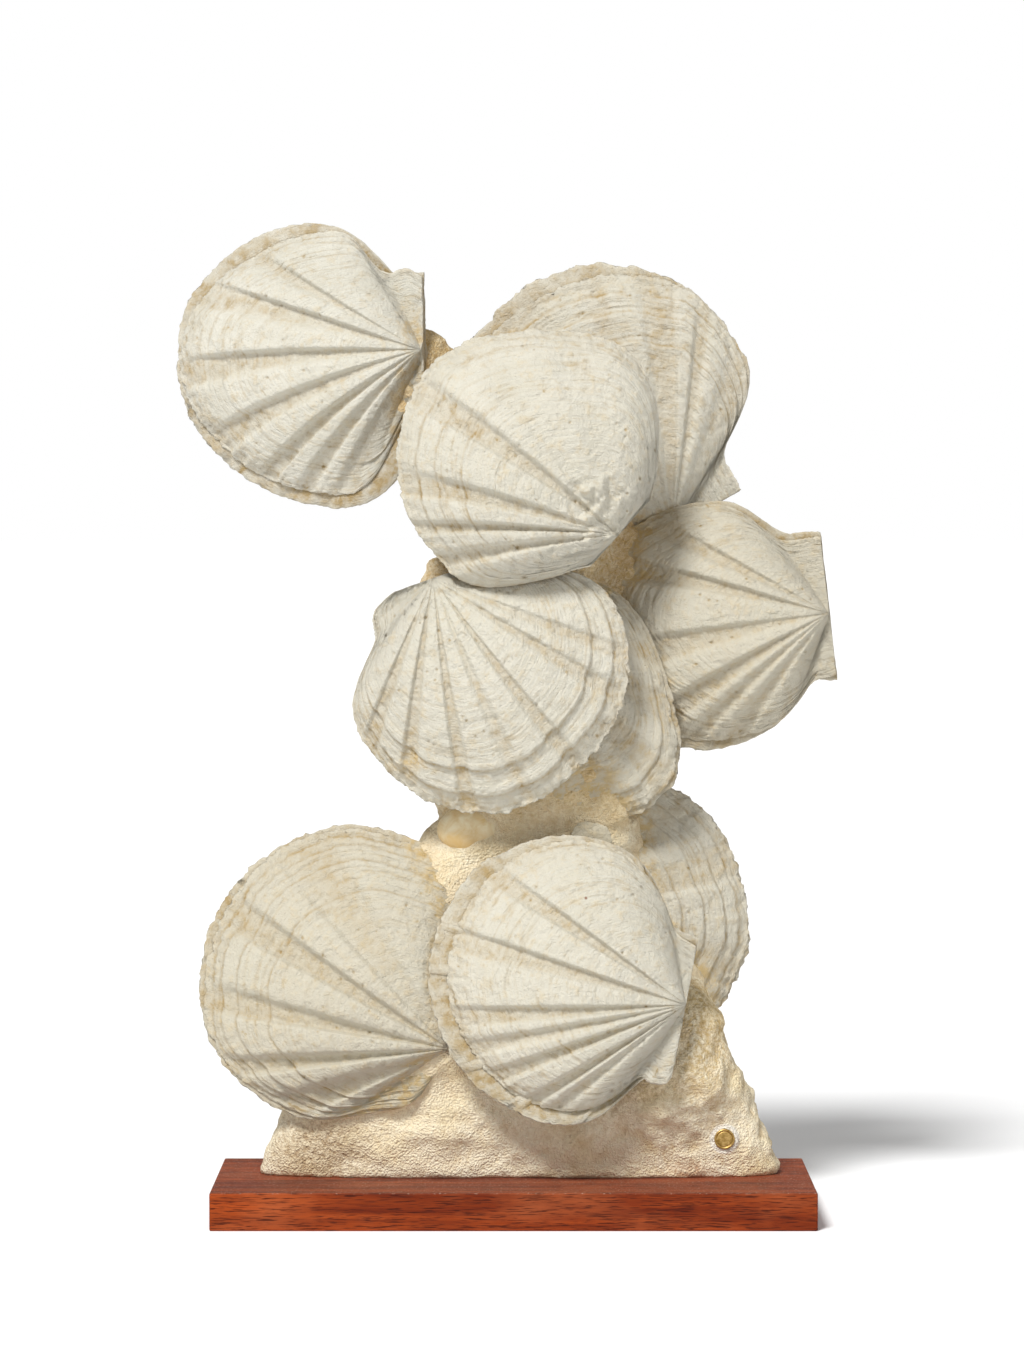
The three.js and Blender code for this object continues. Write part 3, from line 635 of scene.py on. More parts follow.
edge_arc = add(valve_tree, MATH, (add(valve_tree, TIMES, (lift, math.pi)),), operation="SINE")
edge_out = add(valve_tree, TIMES, (edge_arc, add(valve_tree, TIMES, (half_edge, 0.8))))
nibble_place = add(valve_tree, "ShaderNodeCombineXYZ", {
    "X": add(valve_tree, TIMES, (carried["ray"], 0.5)), "Y": add(valve_tree, TIMES, (lift, 1.3)),
    "Z": given["Seed"]})
nibbles = add(valve_tree, NOISE, {"Vector": nibble_place, "Scale": 1.0, "Detail": 4.0, "Roughness": 0.65})
nibbles = add(valve_tree, MINUS, (nibbles, 0.52))
late = add(valve_tree, MATH, (share, 14.0), operation="POWER")
nibbles = add(valve_tree, TIMES, (nibbles, late))
stretch = add(valve_tree, TIMES, (nibbles, given["Ragged"]))
stretch = add(valve_tree, TIMES_PLUS, (stretch, 4.0, share))
ragged_plan = add(valve_tree, VECTOR, {0: rim, "Scale": stretch}, operation="SCALE")
outward = add(valve_tree, VECTOR, {
    0: add(valve_tree, VECTOR, (rim,), operation="NORMALIZE"), "Scale": edge_out}, operation="SCALE")
flat_place = add(valve_tree, VECTOR, (ragged_plan, outward), operation="ADD")
at_hinge = add(valve_tree, RANGE, (turned, 72.0, 90.0))
off_beak = add(valve_tree, RANGE, (distance, 2 * MM, 14 * MM, 0.0, 2.4 * MM))
hinge_place = add(valve_tree, VECTOR, (worn_place, (1, 0, 1)), operation="MULTIPLY")
hinge_noise = add(valve_tree, NOISE, {"Vector": hinge_place, "Scale": 1 / (HINGE_WEAR_MM * MM),
                                      "Detail": 4.0, "Roughness": 0.6})
hinge_noise = add(valve_tree, MINUS, (hinge_noise, 0.5))
hinge_shift = add(valve_tree, TIMES, (add(valve_tree, TIMES, (hinge_noise, at_hinge)), off_beak))
shift = add(valve_tree, "ShaderNodeCombineXYZ", {"Y": hinge_shift, "Z": rise})
place = add(valve_tree, VECTOR, (flat_place, shift), operation="ADD")

# %% Valve tree: place the points, keep the patterns' coordinates, close the solid
kept = add(valve_tree, "GeometryNodeCaptureAttribute", {"Geometry": grid})
for label, source in (("growth", growth), ("ray", carried["ray"]), ("pleat", pleat), ("share", share),
                      ("stained", stained)):
    kept.capture_items.new("FLOAT", label)
    valve_tree.links.new(source.outputs[0], kept.inputs[label])
valve = add(valve_tree, "GeometryNodeSetPosition", {"Geometry": kept, "Position": place})
for label in ("growth", "ray", "pleat", "share", "stained"):
    valve = add(valve_tree, "GeometryNodeStoreNamedAttribute", {
        "Geometry": valve, "Name": label, "Value": kept.outputs[label]})
valve = add(valve_tree, "GeometryNodeStoreNamedAttribute", {"Geometry": valve, "Name": "tone",
                                                            "Value": given["Tone"]})
valve = add(valve_tree, "GeometryNodeMergeByDistance", {"Geometry": valve, "Distance": 0.02 * MM})
valve = add(valve_tree, "GeometryNodeSetShadeSmooth", {"Geometry": valve})
valve = add(valve_tree, "GeometryNodeRealizeInstances", {"Geometry": valve})
valve = add(valve_tree, "GeometryNodeSetMaterial", {"Geometry": valve, "Material": given["Shell"]})
valve_tree.links.new(valve.outputs[0], valve_result.inputs[0])
print("the valve tree has", len(valve_tree.nodes), "nodes")

# %% [markdown]
# ## Fossil shell
#
# The shells are calcite, as they were in life, but bleached, chalky and matt after millions of years in the
# ground. Cream is the main colour, with cooler grey-white patches where the outer layer is whole, and
# ochre along the margin from iron in the ground water. A darker ochre is also painted into the grooves,
# under the ledges, in creases and pits and where a valve meets the rock or the next shell: partly iron
# stain, partly painted shade. The growth lines show as fine bands, so their pattern reads the valve's own
# growth and ray attributes instead of its place in space.

# %% Fossil shell material
# Weathered calcite: chalky and matt, so light spreads over it softly, and only whole patches gleam a little.
shell_material, shell_tree, skin = new_material("bleached_fossil_calcite")
where = add(shell_tree, "ShaderNodeTexCoord").outputs["Object"]
growth_at, ray_at, pleat_at, share_at, stain_and_shade_at, tone_at, joint_at = (
    add(shell_tree, "ShaderNodeAttribute", attribute_name=key).outputs["Fac"]
    for key in ("growth", "ray", "pleat", "share", "stained", "tone", "joint"))

PATCH_MM, MOTTLE_MM, GRAIN_MM = 38, 6, 1.1
patches = add(shell_tree, NOISE, {"Vector": where, "Scale": 1 / (PATCH_MM * MM), "Detail": 5.0,
                                  "Roughness": 0.62})
mottle = add(shell_tree, NOISE, {"Vector": where, "Scale": 1 / (MOTTLE_MM * MM), "Detail": 6.0,
                                 "Roughness": 0.65})
grain = add(shell_tree, NOISE, {"Vector": where, "Scale": 1 / (GRAIN_MM * MM), "Detail": 4.0,
                                "Roughness": 0.6})
BAND_MM, GROWN_MM = 1.5, 150
band_place = add(shell_tree, "ShaderNodeCombineXYZ", {
    "X": add(shell_tree, TIMES, (ray_at, 0.10)),
    "Y": add(shell_tree, TIMES, (growth_at, GROWN_MM / BAND_MM)), "Z": tone_at})
bands = add(shell_tree, NOISE, {"Vector": band_place, "Scale": 1.0, "Detail": 4.0, "Roughness": 0.65})

# %% Shell colour: tone, patches, bands, ochre stains and painted shade
own_tone = blend(shell_tree, tone_at, "#B1A68C", "#D5D2C6")
patchy = add(shell_tree, RANGE, (patches, 0.4, 0.62, 0.0, 0.45))
base = blend(shell_tree, patchy, own_tone, "#C6C2B2")
banded = add(shell_tree, RANGE, (bands, 0.35, 0.7, 0.0, 0.3))
base = blend(shell_tree, banded, base, "#C8BCA0")
speckled = add(shell_tree, RANGE, (mottle, 0.52, 0.74, 0.0, 0.55))
base = blend(shell_tree, speckled, base, "#C7B38B")
# Darker in the grooves between the ribs: partly ochre dirt, partly painted shade.
groove_dirt_and_shade = add(shell_tree, RANGE, (pleat_at, -0.2, -1.0, 0.0, 0.4))
rim_dirt = add(shell_tree, RANGE, (share_at, 0.9, 0.99, 0.0, 0.15))
# Grooves, margin and the stain mask together: ochre dirt, with painted shade in the grooves and hollows.
dirt_and_shade = add(shell_tree, PLUS, (add(shell_tree, MOST, (groove_dirt_and_shade, rim_dirt)), stain_and_shade_at))
patches_of_dirt_and_shade = add(shell_tree, RANGE, (mottle, 0.35, 0.62, 0.25, 1.0))
dirt_and_shade = add(shell_tree, TIMES, (dirt_and_shade, patches_of_dirt_and_shade), use_clamp=True)
base = blend(shell_tree, dirt_and_shade, base, "#A68F64")
# Ochre near the joints: partly iron stain, partly painted shade between the parts.
ochre_here = add(shell_tree, RANGE, (mottle, 0.42, 0.56, 0.2, 0.8))
joint_ochre_and_shade = add(shell_tree, TIMES, (joint_at, ochre_here))
base = blend(shell_tree, joint_ochre_and_shade, base, "#C4A86F")
SPECK_AT, SPECK_RADIUS = (41.8, -60.0, 190.4), 1.2
from_speck = add(shell_tree, VECTOR, (where, Vector(SPECK_AT) * MM), operation="SUBTRACT")
from_speck = add(shell_tree, VECTOR, (from_speck, (1, 0.1, 1)), operation="MULTIPLY")
from_speck = add(shell_tree, VECTOR, (from_speck,), operation="LENGTH").outputs["Value"]
speck = add(shell_tree, RANGE, (from_speck, SPECK_RADIUS * MM, 0.6 * SPECK_RADIUS * MM, 0.0, 0.85))
base = blend(shell_tree, speck, base, "#7A4A2C")
shell_tree.links.new(base.outputs[0], skin.inputs["Base Color"])

# %% Shell surface: dull, finely grained, with raised bands
chalky = add(shell_tree, RANGE, (patches, 0.38, 0.6, 0.9, 0.7))
shell_tree.links.new(chalky.outputs[0], skin.inputs["Roughness"])
texture = add(shell_tree, TIMES_PLUS, (bands, 0.5, mottle))
texture = add(shell_tree, TIMES_PLUS, (grain, 0.45, texture))
relief_bump = add(shell_tree, "ShaderNodeBump", {"Height": texture, "Strength": 1.0, "Distance": 1.9 * MM})
shell_tree.links.new(relief_bump.outputs[0], skin.inputs["Normal"])

# %% Make the valves
FACES = ("front", "rear")
ROWS = {"front": 200, "rear": 110}
EDGE_GAP = 0.15  # each valve stands this far off the plane where the two meet
REAR_SEED, SEED_STEP = 20, 3.7  # they keep the noise of any two valves apart


def directions_of(shell):
    """The shell's own directions: across, along its growth, and out of its face."""
    lean, tilt = shell["facing"]
    turn = math.radians(shell["growth"])
    out = Vector((lean, -1, tilt)).normalized()
    depth = math.cos(turn) * lean + math.sin(turn) * tilt
    along = Vector((math.cos(turn), depth, math.sin(turn))).normalized()
    return along.cross(out), along, out


def placement_of(shell, face):
    """The matrix that takes a valve from its own plane to its place in the cluster."""
    side = 1 if face == "front" else -1
    hingeward, along, out = directions_of(shell)
    turn = Matrix((hingeward, along, out * side)).transposed().to_4x4()
    return Matrix.Translation((Vector(shell["beak"]) + out * side * EDGE_GAP) * MM) @ turn


def close_hinge(mesh):
    """Fills the flat opening along the hinge line with one flat face."""
    work = bmesh.new()
    work.from_mesh(mesh)
    opening = [edge for edge in work.edges if edge.is_boundary]
    for cap in bmesh.ops.holes_fill(work, edges=opening, sides=0)["faces"]:
        cap.smooth = False
    work.to_mesh(mesh)
    work.free()


def make_valve(name, shell, face, seed):
    """Runs the tree for one valve and leaves a plain mesh in its place."""
    settings = {
        "Rows": ROWS[face], "Arch": shell["arch"][FACES.index(face)] * MM, "Rib height": shell["rib_height"],
        "Line height": shell.get("line_height", 0.28) * MM, "Wear": shell.get("wear", 1.5) * MM,
        "Knobs": shell.get("knobs", 0.0) * MM, "Ledge breaks": shell.get("breaks", 0.5),
        "Tone": shell["tone"],
        "Seed": seed * SEED_STEP, "Shell": shell_material}
    if face == "rear":
        settings["Lip"] = shell.get("teeth", 0.0) * MM
    for i, (at, drop) in enumerate(shell["ledges"], 1):
        settings[f"Ledge {i} share"] = at
        settings[f"Ledge {i} drop"] = drop * MM
    piece = applied(guide_of(name, shell, face), valve_tree, settings, name)
    close_hinge(piece.data)
    place = placement_of(shell, face)
    piece.data.transform(place)
    if place.determinant() > 0:
        piece.data.flip_normals()
    return piece


for seed, (name, shell) in enumerate(SHELLS.items()):
    for number, face in enumerate(FACES[:len(shell["arch"])]):
        node_name = f"{name}_{face}_valve"
        piece = make_valve("fossil_" + node_name, shell, face, seed + REAR_SEED * number)
        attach(piece, "root")
        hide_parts(node_name)
        print(piece.name, len(piece.data.polygons), "faces")

# %% [markdown]
# ## The rock
#
# The matrix is one body: a foot that stands on the plinth, a neck, a column, and stubs that run out behind
# the shells. It is drawn as lumps, each a row of rings, and turned into a distance field: a block of points
# that each know how far they are from the surface. Fields are used because they blend. Lumps run together
# with soft hollows instead of creases, and the rock creeps a few millimetres up each shell it holds.

# %% The rock's lumps
# A station is the middle of a ring, then its half width and half depth, in millimetres.
ROCK_LUMPS = {
    "foot": (3.6, ((3, 20, 22.1, 154, 35), (4, 18, 44, 147, 35), (3, 16, 66, 138, 35), (0, 15, 92, 128, 38),
                   (0, 14, 124, 112, 40), (0, 15, 160, 88, 38), (4, 16, 196, 64, 31))),
    "column": (2.6, ((5, 15, 150, 70, 34), (8, 15, 205, 60, 31), (7, 14, 217, 59, 30),
                     (12, 15, 230, 55, 28), (12, 16, 275, 54, 30),
                     (14, 20, 330, 52, 33), (10, 28, 380, 44, 30), (10, 34, 430, 54, 28),
                     (10, 40, 470, 48, 24), (12, 50, 496, 32, 16), (14, 54, 508, 16, 8))),
    "centre_backing": (2.3, ((28, -4, 366, 12, 10), (26, -6, 378, 22, 20), (20, -10, 402, 36, 29),
                             (14, -8, 455, 60, 36), (8, -2, 492, 44, 28), (6, 2, 508, 20, 14))),
    "middle_backing": (2.3, ((-28, -6, 250, 20, 18), (-30, -8, 274, 40, 26), (-36, -8, 325, 40, 26),
                             (-32, 0, 362, 26, 20), (-36, -1, 376, 17, 13), (-37, 1, 385, 13, 10))),
    "ear_bed": (2.2, ((-44, 2, 48, 26, 22), (-44, 2, 66, 26, 18), (-40, 4, 88, 18, 14))),
    "lower_bed": (2.3, ((88, 6, 38, 30, 16), (90, -4, 62, 36, 24), (92, -8, 88, 32, 24), (94, 0, 112, 28, 24),
                        (86, 8, 136, 22, 18))),
    "left_branch": (2.2, ((24, 26, 430, 34, 26), (-26, 18, 458, 32, 24), (-60, 17, 487, 32, 24),
                          (-100, 28, 506, 32, 22), (-138, 38, 512, 16, 12))),
    "right_branch": (2.2, ((20, 34, 366, 36, 24), (64, 42, 366, 34, 22), (104, 44, 356, 32, 17),
                           (146, 38, 350, 18, 11))),
}
ROCK_CELL = 2.1  # millimetres between the points of the field
ROCK_LOW = np.array([-164.0, -62.0, 18.0])
ROCK_HIGH = np.array([178.0, 76.0, 558.0])
FAR = 30.0  # the field says no more than this

counts = np.ceil((ROCK_HIGH - ROCK_LOW) / ROCK_CELL).astype(int)
axes = [ROCK_LOW[i] + ROCK_CELL * np.arange(counts[i]) for i in range(3)]
print("the field has", counts[0], "by", counts[1], "by", counts[2], "points")


# %% Helpers for the field
def window(low, high, margin):
    """The part of the block around a box, and the coordinates of its points."""
    spans = []
    for i in range(3):
        first = np.searchsorted(axes[i], low[i] - margin)
        spans.append(slice(max(first, 0), np.searchsorted(axes[i], high[i] + margin)))
    grids = np.meshgrid(*[axes[i][spans[i]] for i in range(3)], indexing="ij", sparse=True)
    return tuple(spans), grids


def soft_min(a, b, softness):
    """The nearer of two distances, with the crease between them filled."""
    overlap = np.clip(softness - np.abs(a - b), 0, None) / softness
    return np.minimum(a, b) - overlap ** 2 * softness / 4


def along_lump(x, y, z, start, end, power):
    """The distance from one length of a lump, between two of its rings."""
    upright = abs(end[2] - start[2]) > abs(end[0] - start[0])
    ahead, sideways = (2, 0) if upright else (0, 2)
    here, aside = (z, x) if upright else (x, z)
    lowest, highest = sorted((start[ahead], end[ahead]))
    kept = np.clip(here, lowest, highest)
    beyond = here - kept
    way = (kept - start[ahead]) / (end[ahead] - start[ahead])
    slope = (end[sideways] - start[sideways]) / (end[ahead] - start[ahead])
    middle_y, half_width, half_depth = (start[i] + (end[i] - start[i]) * way for i in (1, 3, 4))
    u = np.abs(aside - start[sideways] - (end[sideways] - start[sideways]) * way) / math.hypot(1, slope)
    v = np.abs(y - middle_y)
    norm = ((u / half_width) ** power + (v / half_depth) ** power) ** (1 / power)
    norm = np.maximum(norm, 1e-3)
    outside = np.hypot(u, v) * (1 - 1 / norm)
    return np.where(beyond == 0, outside, np.hypot(np.maximum(outside, 0), beyond))


# %% Fill the field with the lumps
LUMP_SOFTNESS = 12.0
WINDOW_MARGIN = 14  # how far round a shape the field is reckoned
LUMP_ENDS = 20  # and how far beyond a lump's first and last ring

field = np.full(counts, FAR, np.float32)
for name, (power, stations) in ROCK_LUMPS.items():
    lump = np.full(counts, FAR, np.float32)
    for start, end in zip(stations[:-1], stations[1:]):
        wide, deep = max(start[3], end[3]), max(start[4], end[4])
        low = (min(start[0], end[0]) - wide, min(start[1], end[1]) - deep, min(start[2], end[2]) - LUMP_ENDS)
        high = (max(start[0], end[0]) + wide, max(start[1], end[1]) + deep, max(start[2], end[2]) + LUMP_ENDS)
        if abs(end[0] - start[0]) > abs(end[2] - start[2]):
            low = (low[0], low[1], low[2] - wide)
            high = (high[0], high[1], high[2] + wide)
        part, (x, y, z) = window(low, high, WINDOW_MARGIN)
        lump[part] = np.minimum(lump[part], along_lump(x, y, z, start, end, power))
    field = soft_min(field, lump, LUMP_SOFTNESS)
print("rock fills", round(float((field < 0).sum()) * ROCK_CELL ** 3 / 1000), "cubic centimetres")

# %% [markdown]
# A slow unevenness goes in before the shells, so that the rock swells and sinks between them, and the dab
# of plaster that holds the brass disc stands on the front of the foot. Then each shell is measured from the
# same points. Where a shell and the rock come within a centimetre of each other, the corner between them is
# filled, as sand packs against a shell.

# %% Unevenness, the disc's dab, and the shells' beds
DISC_AT = (124.0, -12.0, 45.0)
DISC_THICKNESS = 2.4
DAB_RADIUS, DAB_DEPTH, DAB_SOFTNESS = 8.2, 14.0, 2.5
DAB_FRONT = DISC_AT[1] + 0.2
BED_SOFTNESS = 13.0
BED_REACH = 11.0
BED_INSET = 1.2
LONE_BACK = 0.5  # how far behind the flat inside of a single valve the rock still stops
FOOT_BOTTOM = 22.1
UNDERCUT, UNDERCUT_HEIGHT = 1.5, 2.6  # the foot draws in just above the board, so a dark gap shows there

x, y, z = np.meshgrid(*axes, indexing="ij", sparse=True)
slow = np.sin(x * 0.061 + 2 * np.sin(z * 0.043)) * np.sin(z * 0.072 + y * 0.05)
quick = np.sin(x * 0.17 + y * 0.15 + 1.4 * np.sin(z * 0.09)) * np.sin(z * 0.21 - x * 0.07)
field += (1.6 * slow + 0.9 * quick).astype(np.float32)

part, (x, y, z) = window(np.array(DISC_AT) - 10, np.array(DISC_AT) + (10, 18, 10), WINDOW_MARGIN)
round_dab = np.hypot(x - DISC_AT[0], z - DISC_AT[2]) - DAB_RADIUS
dab = np.maximum(round_dab, np.maximum(DAB_FRONT - y, y - DISC_AT[1] - DAB_DEPTH))
field[part] = soft_min(field[part], dab, DAB_SOFTNESS)


def from_shell(shell, x, y, z):
    """The distance from a closed shell, both valves together."""
    hingeward, along, out = directions_of(shell)
    x, y, z = x - shell["beak"][0], y - shell["beak"][1], z - shell["beak"][2]
    sideways, ahead, up = (x * d[0] + y * d[1] + z * d[2] for d in (hingeward, along, out))
    ray = np.degrees(np.arctan2(sideways, ahead))
    radius = np.hypot(sideways, ahead)
    margin_at = drawn(shell.get("rear", shell["outline"]), np.clip(ray, -90, 90))
    dome_at = dome_along(np.clip(radius / margin_at, 0, 1)) * dome_across(ray, shell["fan"])
    above = up - EDGE - shell["arch"][0] * dome_at
    below = -up - (EDGE + shell["arch"][1] * dome_at if len(shell["arch"]) > 1 else LONE_BACK)
    behind_hinge = np.where(np.abs(ray) > 90, np.maximum(-ahead, 0), 0)
    return np.maximum(np.maximum(above, below), np.maximum(radius - margin_at, behind_hinge))


bare = field.copy()
for name, shell in SHELLS.items():
    beak = np.array(shell["beak"], float)
    longest = max(reach for _, reach in shell["outline"]) + 12
    part, (x, y, z) = window(beak - longest, beak + longest, 0)
    near = np.abs(bare[part]) < BED_REACH + BED_SOFTNESS
    if near.any():
        full = [np.broadcast_to(c, near.shape)[near] for c in (x, y, z)]
        shell_field = from_shell(shell, *full) + BED_INSET
        filled = soft_min(bare[part][near], shell_field, BED_SOFTNESS)
        filled = np.maximum(filled, bare[part][near] - BED_REACH)
        patch = field[part]
        patch[near] = np.minimum(patch[near], filled)
        field[part] = patch
x, y, z = np.meshgrid(*axes, indexing="ij", sparse=True)
from_dab = DAB_FRONT - y
round_dab = np.hypot(x - DISC_AT[0], z - DISC_AT[2]) - DAB_RADIUS - 1 - 1.5 * np.clip(from_dab, 0, None)
field = np.maximum(field, np.minimum(-round_dab, from_dab).astype(np.float32))
field += (UNDERCUT * np.clip((FOOT_BOTTOM + UNDERCUT_HEIGHT - z) / UNDERCUT_HEIGHT, 0, 1)).astype(np.float32)
field = np.maximum(field, (FOOT_BOTTOM - z).astype(np.float32))


# %% [markdown]
# ## From field to mesh
#
# The surface lies where the field changes sign. Every cell that it crosses gets one point, at the average of
# the places where it cuts the cell's edges, and every edge that it cuts gets one face between the four cells
# around it. These surface nets give even, closed quads, which take a fine displacement well.

# %% Surface nets
def surface_net(values):
    """Points and quads of the surface where the values cross zero."""
    inside = values < 0
    sizes = np.array(values.shape) - 1
    total = np.zeros((*sizes, 3), np.float32)
    crossings = np.zeros(sizes, np.int16)
    for axis in range(3):
        one, two = [slice(None)] * 3, [slice(None)] * 3
        one[axis], two[axis] = slice(0, -1), slice(1, None)
        a, b = values[tuple(one)], values[tuple(two)]
        cut = inside[tuple(one)] != inside[tuple(two)]
        where_cut = np.where(cut, a / np.where(cut, a - b, 1), 0)
        sides = [i for i in range(3) if i != axis]
        for step_one in (0, 1):
            for step_two in (0, 1):
                corner = [slice(None)] * 3
                corner[sides[0]] = slice(step_one, step_one + sizes[sides[0]])
                corner[sides[1]] = slice(step_two, step_two + sizes[sides[1]])
                here = cut[tuple(corner)]
                crossings += here
                total[..., axis] += where_cut[tuple(corner)]
                total[..., sides[0]] += step_one * here
                total[..., sides[1]] += step_two * here
    active = crossings > 0
    number = np.full(sizes, -1, np.int64)
    number[active] = np.arange(active.sum())
    points = np.argwhere(active) + total[active] / crossings[active][:, None]
    quads = []
    for axis in range(3):
        one, two = [slice(1, -1)] * 3, [slice(1, -1)] * 3
        one[axis], two[axis] = slice(0, -1), slice(1, None)
        starts_inside = inside[tuple(one)]
        cut = np.argwhere(starts_inside != inside[tuple(two)])
        leaves_rock = starts_inside[tuple(cut.T)]
        base = cut.copy()
        for side in range(3):
            if side != axis:
                base[:, side] += 1
        s1, s2 = np.eye(3, dtype=int)[(axis + 1) % 3], np.eye(3, dtype=int)[(axis + 2) % 3]
        corners = [number[tuple((base - offset).T)] for offset in (s1 * 0, s1, s1 + s2, s2)]
        ring = np.stack(corners, 1)
        ring[~leaves_rock] = ring[~leaves_rock][:, ::-1]
        quads.append(ring)
    return points, np.concatenate(quads)


NET_ATTEMPTS = 8
PINCH_FILL = -0.3  # where two parts of the rock only touch, this much rock joins them
BED_COLOUR_REACH = 6
for attempt in range(NET_ATTEMPTS):
    net_points, net_quads = surface_net(field)
    sides = np.sort(np.stack([net_quads, np.roll(net_quads, -1, 1)], 2).reshape(-1, 2), 1)
    pairs, uses = np.unique(sides, axis=0, return_counts=True)
    pinched = np.floor(net_points[pairs[uses != 2]].mean(1)).astype(int)
    print("attempt", attempt, "finds", len(pinched), "pinched edges")
    if not len(pinched):
        break
    for i, j, k in pinched:
        block = field[i:i + 2, j:j + 2, k:k + 2]
        block[...] = np.minimum(block, PINCH_FILL)
nearest = np.round(net_points).astype(int)
bedded = np.clip((bare - field)[tuple(nearest.T)] / BED_COLOUR_REACH, 0, 1)
rock = plain_mesh("rock_net", ((net_points * ROCK_CELL + ROCK_LOW) * MM).tolist(), net_quads.tolist())
rock.data.attributes.new("bedded", "FLOAT", "POINT").data.foreach_set("value", bedded)
print("the rock has", len(net_quads), "quads")

# %% [markdown]
# Water seeps along the joints where shells meet the rock or each other, and the iron it carries stays there.
# The ochre laid there also paints in the shade of those narrow gaps. So each point of a valve is coloured
# by how near it lies to the rock or to the next shell.
# So each point of a valve is stained by how near it lies to the rock or to the next shell.

# %% Ochre and painted shade in the joints
JOINT_REACH, JOINT_FADE = 6.5, 1.7
for name, shell in SHELLS.items():
    for face in FACES[:len(shell["arch"])]:
        valve_mesh = bpy.data.objects[f"fossil_{name}_{face}_valve"].data
        spots = np.empty(len(valve_mesh.vertices) * 3, np.float32)
        valve_mesh.vertices.foreach_get("co", spots)
        spots = spots.reshape(-1, 3) / MM
        cell = np.clip(np.round((spots - ROCK_LOW) / ROCK_CELL).astype(int), 0, counts - 1)
        nearest = np.minimum(field[tuple(cell.T)], JOINT_REACH)
        for other, neighbour in SHELLS.items():
            if other != name:
                nearest = np.minimum(nearest, from_shell(neighbour, *spots.T))
        joint = np.clip(1 - nearest / JOINT_REACH, 0, 1) ** JOINT_FADE
        joint_stain_and_shade = valve_mesh.attributes.new("joint", "FLOAT", "POINT")
        joint_stain_and_shade.data.foreach_set("value", joint.astype(np.float32))
print("the joints are stained")


# %% [markdown]
# ## A crumbly surface
#
# Sandy limestone does not break along planes. The tools leave it rough: crumbs of a few millimetres where it
# was picked away, and a smoother, scraped face at the left of the foot. A second tree pushes each point of
# the net out or in along its normal. Where it is crumbly and where it is scraped is itself a slow pattern.

# %% The crumb tree
CRUMB_INPUTS = [
    ("Rock", "Geometry", None), ("Crumb size", "Float", 8.0 * MM), ("Crumb height", "Float", 4.6 * MM),
    ("Lump size", "Float", 24 * MM), ("Lump height", "Float", 6.0 * MM), ("Scraped height", "Float", 0.35),
    ("Foot bottom", "Float", FOOT_BOTTOM * MM), ("Matrix", "Material", None)]
NECK_HEIGHT = 210 * MM  # the neck was scraped smoother than the rest
SCRAPED_MM = 55
crumb_tree, raw, crumb_result = new_tree("crumbly_rock", CRUMB_INPUTS)
at = add(crumb_tree, "GeometryNodeInputPosition")
per = {label: add(crumb_tree, OVER, (1.0, raw[label])) for label in ("Crumb size", "Lump size")}
lumps = add(crumb_tree, NOISE, {"Vector": at, "Scale": per["Lump size"], "Detail": 2.0})
lumps = add(crumb_tree, MINUS, (lumps, 0.5))
bits = add(crumb_tree, NOISE, {"Vector": at, "Scale": per["Crumb size"], "Detail": 4.0, "Roughness": 0.62})
bits = add(crumb_tree, MINUS, (bits, 0.5))
stones = add(crumb_tree, "ShaderNodeTexVoronoi", {"Vector": at, "Scale": per["Crumb size"],
                                                  "Randomness": 1.0}, feature="SMOOTH_F1")
stones = add(crumb_tree, MINUS, (0.45, stones.outputs["Distance"]))
crumbs = add(crumb_tree, TIMES_PLUS, (stones, 0.8, bits))
apart = add(crumb_tree, "ShaderNodeSeparateXYZ", (at,))
scraped_noise = add(crumb_tree, NOISE, {"Vector": at, "Scale": 1 / (SCRAPED_MM * MM), "Detail": 2.0})
leftness = add(crumb_tree, RANGE, (apart.outputs["X"], 20 * MM, -70 * MM))
lowness = add(crumb_tree, RANGE, (apart.outputs["Z"], 150 * MM, 90 * MM))
scraped = add(crumb_tree, TIMES, (leftness, lowness))
scraped = add(crumb_tree, TIMES_PLUS, (scraped, scraped_noise, -0.25))
roughness_here = add(crumb_tree, RANGE, (scraped, -0.1, 0.15, 1.0, raw["Scraped height"]))
above_neck = add(crumb_tree, MINUS, (apart.outputs["Z"], NECK_HEIGHT))
off_neck = add(crumb_tree, MATH, (above_neck,), operation="ABSOLUTE")
from_neck = add(crumb_tree, RANGE, (off_neck, 10 * MM, 24 * MM, 0.3, 1.0))
roughness_here = add(crumb_tree, TIMES, (roughness_here, from_neck))
crumbs = add(crumb_tree, TIMES, (crumbs, roughness_here))
push = add(crumb_tree, TIMES, (lumps, raw["Lump height"]))
push = add(crumb_tree, TIMES_PLUS, (crumbs, raw["Crumb height"], push))
just_above = add(crumb_tree, PLUS, (raw["Foot bottom"], 5 * MM))
off_bottom = add(crumb_tree, RANGE, (apart.outputs["Z"], raw["Foot bottom"], just_above))
push = add(crumb_tree, TIMES, (push, off_bottom))
disc_middle = Vector((DISC_AT[0], 0, DISC_AT[2])) * MM
seen_flat = add(crumb_tree, VECTOR, (at, (1, 0, 1)), operation="MULTIPLY")
round_disc = add(crumb_tree, VECTOR, (seen_flat, disc_middle), operation="DISTANCE").outputs["Value"]
off_disc = add(crumb_tree, RANGE, (round_disc, (DAB_RADIUS + 0.5) * MM, 16 * MM))
push = add(crumb_tree, TIMES, (push, off_disc))
shove = add(crumb_tree, VECTOR, {
    0: add(crumb_tree, "GeometryNodeInputNormal"), "Scale": push}, operation="SCALE")
crumbled = add(crumb_tree, "GeometryNodeSetPosition", {"Geometry": raw["Rock"], "Offset": shove})
crumbled = add(crumb_tree, "GeometryNodeStoreNamedAttribute", {
    "Geometry": crumbled, "Name": "crumb", "Value": crumbs})
